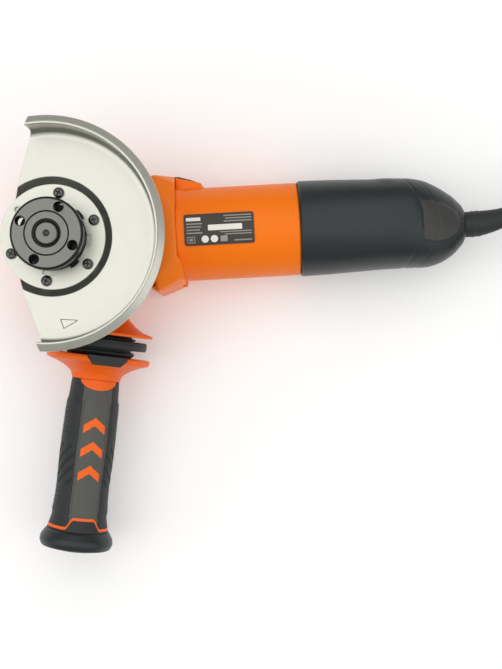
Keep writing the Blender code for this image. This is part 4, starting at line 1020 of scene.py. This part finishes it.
for side in (1, -1):
    low, high = sorted((MOTOR_Z + side * 20, MOTOR_Z + side * 28.3))
    tools.append(settle("brush_seat", brick((142.2, -4.4, low), (153.8, 4.4, high))))
vent = settle("vent", rod(4.2, 165, 185, 32))
vents = grown("end_vents", ring_tree, vent, "orange_plastic", count=4, radius=19.3 * MM,
              first_angle=math.radians(45))
vents.data.transform(MOTOR_AXIS)
tools.append(vents)
carved(housing, *tools)
ready(housing, "body", "orange_plastic", "motor_housing")

# %% [markdown]
# ## The rating plate
#
# The plate is a thin sticker that follows the tube. Each patch of it is a rounded rectangle, built
# from strips that run along X, so that it bends round the motor's axis. The print is generic: bars
# for lines of words, one blank field, and plain shapes, each a hair above the sticker.

# %% Print and fit the rating plate
def patch(x0, x1, s0, s1, corner, inner, outer):
    """A rounded rectangle on the tube, from x0 to x1 along it and from s0 to s1 round it."""
    rings = []
    steps = 14
    for k in range(steps + 1):
        s = s0 + (s1 - s0) * (1 - math.cos(math.pi * k / steps)) / 2
        over = max(0.0, corner - min(s - s0, s1 - s))
        trim = corner - math.sqrt(max(corner ** 2 - over ** 2, 0.0)) if corner else 0.0
        a = s / MOTOR_R
        rings.append([Vector((x, -r * math.sin(a), MOTOR_Z + r * math.cos(a))) * MM
                      for x, r in ((x0 + trim, inner), (x1 - trim, inner), (x1 - trim, outer),
                                   (x0 + trim, outer))])
    return lofted(rings)


PLATE_TOP_R = 30.62
plate = settle("rating_plate_printed", patch(82, 126, -9.9, 9.9, 1.4, 30.05, PLATE_TOP_R), "label")
white = [(97, 118.5, -2.6, 0.9, 0.2), (83.4, 92.5, -7.6, -5.4, 0.3),
         (92.6, 97.2, 3.9, 8.3, 2.2), (98.4, 103.0, 3.9, 8.3, 2.2)]
grey = [(83.4, 93.4 - 0.7 * (k % 3), -4.0 + 1.9 * k, -3.2 + 1.9 * k, 0.2) for k in range(4)]
grey += [(107 + 1.1 * (k % 2), 124.6, -8.4 + 1.8 * k, -7.7 + 1.8 * k, 0.2) for k in range(3)]
grey += [(104.5 + 3 * (k % 2), 124.4, 1.8 + 1.5 * k, 2.4 + 1.5 * k, 0.2) for k in range(2)]
grey += [(113, 124.4, 7.2, 7.9, 0.2), (83.6, 88.6, 4.2, 4.7, 0.1), (83.6, 88.6, 7.8, 8.3, 0.1),
         (83.6, 84.1, 4.2, 8.3, 0.1), (88.1, 88.6, 4.2, 8.3, 0.1), (85.0, 87.2, 5.4, 7.1, 0.1),
         (104.6, 109.0, 4.4, 8.0, 0.3)]
prints = [settle("print", patch(*bar, PLATE_TOP_R - 0.02, PLATE_TOP_R + 0.05), look)
          for bars, look in ((white, "print_white"), (grey, "print_grey")) for bar in bars]
plate = joined("rating_plate_with_print", plate, *prints)
ready(plate, "body", "label", "rating_plate")

# %% [markdown]
# ## The slide switch
#
# The thumb slides this button forwards, so its pad has cross ribs for grip. The row tree makes the
# ribs from one rounded bar. The button's leg reaches into the housing and pushes a long rod.

# %% Make the slide button
pad = [(-10.0, -2.2), (10.4, -2.2), (10.0, -1.7, 0.3), (3.5, 1.0, 2.0), (-4.0, 3.2, 3.0),
       (-9.3, 3.3, 0.8),
       (-10.0, 2.2, 0.6)]
slider = settle("slider_pad", prism(eased(pad, 4), -7.9, 6.9), "black_plastic")
slider = carved(slider, settle("leg", brick((-2.0, -7.9, 4.0), (3, -1.5, 6.9), 0.2)),
                operation="UNION")
rib = settle("rib", brick((-0.45, -1, -6.6), (0.45, 3.2, 5.6), 0.25))
ribs = grown("slider_ribs", row_tree, rib, "black_plastic", count=4, start=(-8.6 * MM, 0.4 * MM, 0),
             step=(1.5 * MM, 0.01 * MM, 0))
slider = carved(slider, ribs, operation="UNION")
slider.data.transform(at(83, 35, 27))
slider.name = "slide_switch"
ready(slider, "switch_slider", "black_plastic", "slide_button")

rod = settle("slide_switch_rod", brick((81.8, 25.6, 31.0), (195, 26.8, 36.4), 0.3), "black_plastic")
ready(rod, "switch_slider", "black_plastic", "switch_rod")

# %% [markdown]
# ## The rear cover
#
# Two shells close the back of the tool and form the grip. Each is half a loft: a ring runs round
# the outside and comes back along the inside of the wall. Fine lines cross the grip, and a flat
# panel stands a little proud on its back. They come from a small function that moves the outer
# points in or out, because a real groove catches the light better than a painted one.

# %% Shape of the rear cover
COVER_START = 155.3
COVER_STATIONS = (
    # x, half width, lowest, highest, squareness
    (COVER_START, 30.9, 3.0, 64.9, 2.2), (175.0, 30.5, 2.4, 64.7, 2.3),
    (192.0, 29.8, 1.2, 64.3, 2.4),
    (208.0, 29.2, 0.0, 63.8, 2.4), (228.0, 28.9, 0.0, 62.4, 2.4), (238.0, 27.8, 2.6, 60.0, 2.3),
    (247.0, 24.3, 8.0, 56.4, 2.2), (255.0, 19.2, 15.0, 51.8, 2.1), (261.0, 13.2, 21.6, 46.6, 2.0),
    (265.6, 6.2, 27.6, 40.4, 2.0))
TAIL_SHIFT = -3.0
COVER_END, WALL, HOLE_R = 262.6, 2.3, 8.9


def station(x):
    """The cover's section at any x, on a smooth curve through the stations."""
    last = len(COVER_STATIONS) - 1
    k = next((i for i in range(last) if x <= COVER_STATIONS[i + 1][0]), last - 1)
    rows = [COVER_STATIONS[min(max(k + j, 0), last)] for j in (-1, 0, 1, 2)]
    t = (x - rows[1][0]) / (rows[2][0] - rows[1][0])
    return [between(*values, t) for values in list(zip(*rows))[1:]]


def groove(distance, half_width, depth):
    return -depth * math.exp(-(distance / half_width) ** 2)


def tail_shift(x):
    """The tail's end leans a little towards the handle's side."""
    return TAIL_SHIFT * smoothstep(222, 254, x)


def panel_edge(x):
    """Half the width of the back panel, which is round at its far end."""
    return 12.5 * math.sqrt(max(0.0, 1 - max(0.0, (x - 238) / 20) ** 2))


def relief(x, y, upper):
    """How far the outside stands out here: the seams, the panel and the rounded front edge."""
    out = -0.9 * (1 - smoothstep(COVER_START, COVER_START + 1.9, x)) ** 2
    bow = 0.012 * y * y
    out += groove(x - (233.0 - bow), 0.55, 0.45) + groove(x - (243.5 - 1.3 * bow), 0.45, 0.25)
    if upper:
        edge = panel_edge(x)
        out += 0.45 * smoothstep(edge + 0.9, edge - 0.3, abs(y)) * smoothstep(232.8, 233.6, x)
    out += 0.5 * math.exp(-((x - 212) / 6) ** 2) * smoothstep(24, 27, y)
    return out


def cover_ring(x, upper, count=88):
    """Half a ring: out along the outside and back along the inside of the wall."""
    half, low, high, power = station(x)
    tall = (high - MOTOR_Z) if upper else (MOTOR_Z - low)
    sign = 1 if upper else -1
    bored = smoothstep(252.0, 255.0, x)
    outer, inner = [], []
    for i in range(count + 1):
        a = math.pi * i / count
        c, s = math.cos(a), math.sin(a)
        unit = Vector((math.copysign(abs(c) ** (2 / power), c), abs(s) ** (2 / power)))
        way = Vector((c, s))
        place = Vector((unit.x * half, unit.y * tall)) + way * relief(x, unit.x * half, upper)
        wall = Vector((unit.x * (half - WALL), unit.y * (tall - WALL))).lerp(way * HOLE_R, bored)
        outer.append(Vector((x, place.x + tail_shift(x),
                             MOTOR_Z + sign * (0.15 + max(0.0, place.y)))) * MM)
        inner.append(Vector((x, wall.x + tail_shift(x), MOTOR_Z + sign * (0.15 + wall.y))) * MM)
    return outer + inner[::-1]


cover_xs = [COVER_START + 0.35 * k for k in range(8)] + [158.6 + 0.8 * k for k in range(91)]
cover_xs += [231.2 + 0.32 * k for k in range(42)] + [245.0 + 0.55 * k
                                                     for k in range(32)] + [COVER_END]
print("cover rings:", len(cover_xs))

# %% [markdown]
# The shells get screw bosses inside, so that the two long screws have something to bite in, and
# the lower shell gets slanted air slots on both flanks.

# %% Mould the two shells
BOSSES = ((186.0, -8.0, 61.0), (233.0, 8.0, 57.6))
shells = []
for label, upper in (("lower", False), ("upper", True)):
    shell = settle(f"rear_shell_{label}", lofted([cover_ring(x, upper) for x in cover_xs]),
                   "black_plastic", angle=40)
    bosses, tools = [], []
    for x, y, top in BOSSES:
        low, high = (MOTOR_Z + 0.4, top) if upper else (3.4, MOTOR_Z - 0.4)
        place = at(x, y, 0)
        bosses.append(settle("boss", turned([(0, low), (4.2, low), (5, low + 1.2), (5, high),
                                             (0, high)], 40,
                                            closed=False), place=place))
        tools.append(settle("screw_hole", turned([(0, -5), (3.4, -5), (3.4, 12), (1.7, 12),
                                                  (1.7, 46), (0, 46)], 32,
                                                 closed=False), place=place))
    if not upper:
        for side in (-1, 1):
            slit = settle("slit", brick((-1.3, -8, -8), (1.3, 8, 8), 0.9),
                          place=tilt(18, "Y"))
            tools.append(grown("vents", row_tree, slit, "black_plastic", count=4,
                               start=(203 * MM, side * 29 * MM, 24.6 * MM), step=(6.5 * MM, 0, 0)))
    carved(shell, *bosses, operation="UNION", angle=40)
    carved(shell, *tools, angle=40)
    shells.append(shell)
# The raised panel's upward faces get a lighter plastic: a painted highlight where the overhead
# light's sheen falls on the tail.
for face in shells[1].data.polygons:
    x, y, z = face.center / MM
    on_panel = x > 233.2 and abs(y - tail_shift(x)) < panel_edge(x) + 0.2
    if on_panel and z > MOTOR_Z + 8 and face.normal.z > 0.3:
        face.material_index = 1
shells[1].data.materials.append(LOOKS["panel_plastic_painted_highlight"])
ready(shells[0], "body", "black_plastic", "rear_cover_lower")
ready(shells[1], "body", "black_plastic", "rear_cover_upper")

cover_screws = []
for x, y, _ in BOSSES:
    screw = screw_template(2.9, -11.7, -9.3, 1.35, -43.6, 1.7, 1.2)
    screw.data.transform(at(x, y, 0) @ tilt(180, "X"))
    cover_screws.append(screw)
cover_screws = joined("rear_cover_screws", *cover_screws)
ready(cover_screws, "body", "black_screw", "cover_screw_1", "cover_screw_2")

# %% [markdown]
# ## The cord's boot
#
# A rubber boot leads the cord out of the tail so that it can't kink. It is thick at the root and
# slender at its mouth, and it already droops the way the cord pulls it. Rings along a smooth path
# give that shape, each ring with its own radius, and two shallow beads mark the root.

# %% Mould the boot
BOOT_PATH = [Vector(p) * MM for p in ((252.0, -3.0, 34.0), (264.0, -3.0, 34.0), (276.0, -2.3, 34.0),
                                      (290.0, 0.7, 33.4), (306.0, 6.9, 31.4), (323.4, 14.0, 26.9))]


def boot_radius(share):
    radius = 8.3 - 2.4 * smoothstep(0.22, 0.62, share) - 1.05 * smoothstep(0.55, 1.0, share)
    beads = sum(0.35 * math.exp(-((share - at) / 0.012) ** 2) for at in (0.22, 0.27))
    return radius + beads - 0.8 * smoothstep(0.985, 1.0, share)


boot_path = smooth_path(BOOT_PATH, 0.9 * MM)
boot_rings = []
for i, point in enumerate(boot_path):
    ahead = (boot_path[min(i + 1, len(boot_path) - 1)] - boot_path[max(i - 1, 0)]).normalized()
    across = ahead.cross(Vector((0, 0, 1))).normalized()
    up = across.cross(ahead)
    radius = boot_radius(i / (len(boot_path) - 1)) * MM
    boot_rings.append([point + radius * (math.cos(math.tau * k / 48) * across
                                         + math.sin(math.tau * k / 48) * up)
                       for k in range(48)])
boot = settle("cord_boot_moulded", lofted(boot_rings), "rubber", angle=50)
ready(boot, "body", "rubber", "cord_boot")

# %% [markdown]
# ## The side handle
#
# The handle is screwed into the gear case. Two orange dishes keep the hand from slipping towards
# the disc, and a soft black damper between them keeps the motor's buzz out of the grip. All of it
# is turned on the handle's axis, and a trapezoid key locks the damper to the lower dish.

# %% Turn the dishes and the damper
HANDLE = boss_matrix(-1) @ tilt(-17.5, "Z")
dish = settle("handle_dish", turned(eased([
    (4.3, 44.3), (14.6, 44.3, 0.6), (16.8, 51, 2.5), (21.5, 55.4, 3.0), (27, 58.8, 2.5),
    (33.5, 60.6, 0.7),
    (33.3, 62.3, 0.6), (21.5, 62.3, 0.4), (21.2, 61.7, 0.3), (4.3, 61.7)], 5), 128),
              "orange_handle", place=HANDLE)
ready(dish, "body", "orange_handle", "handle_collar")

damper = settle("damper", turned(eased([
    (4.3, 61.9), (20, 61.9, 0.4), (20, 63.2, 0.4), (22.6, 63.8, 0.3), (22.6, 64.7, 0.3),
    (20.4, 65.1, 0.3),
    (29.8, 65.3, 0.8), (30.4, 68.2, 2.0), (29.8, 71.0, 0.8), (20.4, 71.2, 0.3), (20.4, 72.4, 0.3),
    (22.6, 73.0, 0.3),
    (22.6, 74.4, 0.3), (20.6, 76.2, 0.3), (4.3, 76.2)], 4), 128), "rubber", place=HANDLE)
key_outline = [(-12.3, 76.0), (12.3, 76.0), (12.2, 77.8, 1.0), (8.2, 82.0, 1.2), (-8.2, 82.0, 1.2),
               (-12.2, 77.8, 1.0)]
key = lofted([[Vector((x, y, z)) * MM for x, z in eased(key_outline, 4)]
              for y in (22.0, 33.0, 33.9)])
carved(damper, settle("key", key, place=HANDLE), operation="UNION")
damper.name = "handle_damper"
ready(damper, "body", "rubber", "damper")

core = settle("handle_bell", turned(eased([
    (4.3, 76.5), (33.0, 76.5, 0.6), (33.6, 78.0, 1.0), (33.0, 80.2, 0.8), (27, 82, 3.0),
    (21.5, 84.6, 4.0),
    (16.8, 88.0, 3.0), (15.6, 92, 0.3), (11.6, 92), (11.6, 186), (4.3, 186)], 5), 128),
              "orange_handle", place=HANDLE)
socket_outline = [(x + math.copysign(0.25, x), z + 0.15) for x, z, *_ in key_outline]
seat = lofted([[Vector((x, y, z)) * MM for x, z in socket_outline] for y in (21.5, 36.0)])
carved(core, settle("key_seat", seat, place=HANDLE))
ready(core, "body", "orange_handle", "handle_core")

# %% [markdown]
# ## The grip
#
# The grip is a soft sleeve. Its radius is worked out for each point: a profile along the axis, plus
# a raised pad on each flank with fine ribs, plus slanted grooves that meet like chevrons. The band
# down the middle stays smooth. The colours follow the same kind of rule, by giving faces their
# finish: an orange tongue at the top, a stepped stripe at the end, and three chevrons as a plain
# ornament between them.

# %% Shape the grip
GRIP_START, GRIP_END = 92.2, 189.6
GRIP_PROFILE = ((92, 15.5), (97, 15.8), (105, 16.3), (114, 16.6), (125, 16.8), (135, 17.0),
                (145, 17.0), (155, 16.7),
                (165, 16.5), (172, 16.8), (178, 17.4), (184, 18.5), (190, 20.2))


def grip_profile(z):
    for (z0, r0), (z1, r1) in zip(GRIP_PROFILE, GRIP_PROFILE[1:]):
        if z <= z1:
            return r0 + (r1 - r0) * (z - z0) / (z1 - z0)
    return GRIP_PROFILE[-1][1]


def window(low, high, z, fade=3.0):
    """1 between two heights and 0 outside them, with soft ends."""
    return smoothstep(low, low + fade, z) * smoothstep(high, high - fade, z)


def grip_radius(a, z):
    """The grip's radius at an angle in degrees and a height: 90 and 270 are the smooth bands."""
    smoothed = (grip_profile(z - 2) + grip_profile(z) + grip_profile(z + 2)) / 3
    flank = min(a % 180, 180 - a % 180)
    on_pad = smoothstep(57, 51, flank) * window(104, 181, z, 4)
    radius = smoothed - 0.2 + 0.75 * on_pad
    radius += groove(flank - 58, 2.2, 0.55) * window(103, 183, z)
    fine = smoothstep(33, 28, flank) * (window(106, 134, z) + window(160, 178, z))
    radius += 0.30 * fine * (abs((z / 1.5) % 1.0 * 2 - 1) - 0.5) * 2
    slant = (z + 0.30 * flank) % 8.0 - 4.0
    radius += groove(slant, 0.95, 0.95) * on_pad * window(133, 162, z)
    return radius


def grip_look(x, y, z):
    """0 for dark rubber, 1 for orange and 2 for the smooth band, whose lighter grey is a painted
    highlight, at a place on the grip.
    """
    across = abs(x)
    if z < (GRIP_START + 6.4 * math.sqrt(max(0.0, 1 - (x / 11.5) ** 2))
            if y > 0 else GRIP_START + 0.8):
        return 1
    step = 180.6 + 6.4 * smoothstep(6.2, 11.6, across)
    if step < z < step + 1.5:
        return 1
    for k in range(3):
        tip = 128 + 15.3 * k + 0.75 * across
        if y > 0 and across < 6.8 and tip - 12 < z < tip - 6.8:
            return 1
    return 2 if across < 9.2 and z < step else 0


GRIP_STEPS = 264
heights = [GRIP_START + (GRIP_END - GRIP_START) * k / 290 for k in range(291)]
rings = [[polar(grip_radius(360 * i / GRIP_STEPS, z), 360 * i / GRIP_STEPS, z) * MM
          for i in range(GRIP_STEPS)]
         for z in heights]
rings += [[polar(11.9, 360 * i / GRIP_STEPS, z) * MM for i in range(GRIP_STEPS)]
          for z in (GRIP_END, GRIP_START)]
grip = settle("grip", lofted(rings, ring_shaped=True), "rubber", "orange_handle", "band_rubber_painted_highlight",
              angle=50)
# The smooth band gets the lighter grey finish, a painted highlight.
for face in grip.data.polygons:
    face.material_index = grip_look(*(face.center / MM))
grip.data.transform(HANDLE)
grip.name = "handle_grip"
ready(grip, "body", "rubber", "grip_sleeve")

cap = settle("handle_end", turned(eased([
    (0, 189.9), (19.9, 189.9), (21.0, 191.0, 1.0), (23.3, 194.8, 2.5), (23.7, 197.8, 2.0),
    (22.4, 201.2, 2.2),
    (14, 203, 1.0), (12.5, 202.2, 0.4), (0, 202.2)], 5), 128, closed=False), "black_plastic",
             place=HANDLE)
ready(cap, "body", "black_plastic", "handle_cap")

# %% [markdown]
# ## The spindle lock
#
# Pressing this button locks the spindle so that the nut can be undone. Its face is dished for the
# thumb and has raised rings, all in one turned profile.

# %% Turn the lock button
lock = settle("spindle_lock_button", turned(eased([
    (0, 1.9), (2.0, 1.8, 0.2), (2.4, 1.3, 0.2), (3.2, 1.3, 0.2), (3.6, 1.8, 0.2), (4.6, 1.7, 0.2),
    (5.0, 1.2, 0.2),
    (5.8, 1.2, 0.2), (6.2, 1.6, 0.2), (7.6, 1.0, 0.5), (8.6, 2.0, 0.6), (8.6, 7.4, 0.2), (6.8, 7.4),
    (6.8, 4.0),
    (2.6, 4.0), (2.6, 5.6), (0, 5.6)], 3), 96, closed=False), "black_plastic",
    place=at(LOCK_X, 0, 0))
ready(lock, "spindle_lock", "black_plastic", "lock_button")

# %% [markdown]
# Under the button sits a coil spring. It stays with the body and gets shorter as the button comes
# in, so it is wound as its own piece: rings of wire along a helix, which may be squashed.

# %% Wind the lock's spring
SPRING_R, WIRE_R, SPRING_LOW, SPRING_TOP, SPRING_TURNS = 4.7, 0.4, 4.9, 11.1, 3.2


def wound(radius, wire, low, high, turns, per_turn=36, round_wire=10):
    """A wire that climbs round the local Z axis, in millimetres."""
    rings = []
    for i in range(round(turns * per_turn) + 1):
        share = i / per_turn / turns
        a = 360 * turns * share
        out, rise = polar(1, a), Vector((0, 0, 1))
        middle = out * radius + rise * (low + (high - low) * share)
        rings.append([(middle + wire * (math.cos(math.tau * k / round_wire) * out
                                        + math.sin(math.tau * k / round_wire) * rise)) * MM
                      for k in range(round_wire)])
    return lofted(rings)


spring = settle("lock_spring_wound", wound(SPRING_R, WIRE_R, SPRING_LOW, SPRING_TOP, SPRING_TURNS),
                "bright_steel",
                place=at(LOCK_X, 0, 0), angle=60)
ready(spring, "body", "bright_steel", "lock_spring")
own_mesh(spring)

# %% [markdown]
# ## What stays as it is
#
# The working parts inside keep their CAD shapes: gears, bearings, windings, brushes and springs. They
# still get a proper finish each, because a reader may open the tool and look at them.

# %% Finish the inner parts
for name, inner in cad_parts.items():
    for place in inner.material_slots:
        place.material = LOOKS[place.material.name.split(".")[0]]
print(sum(not o.hide_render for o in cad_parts.values()), "CAD nodes stay visible")
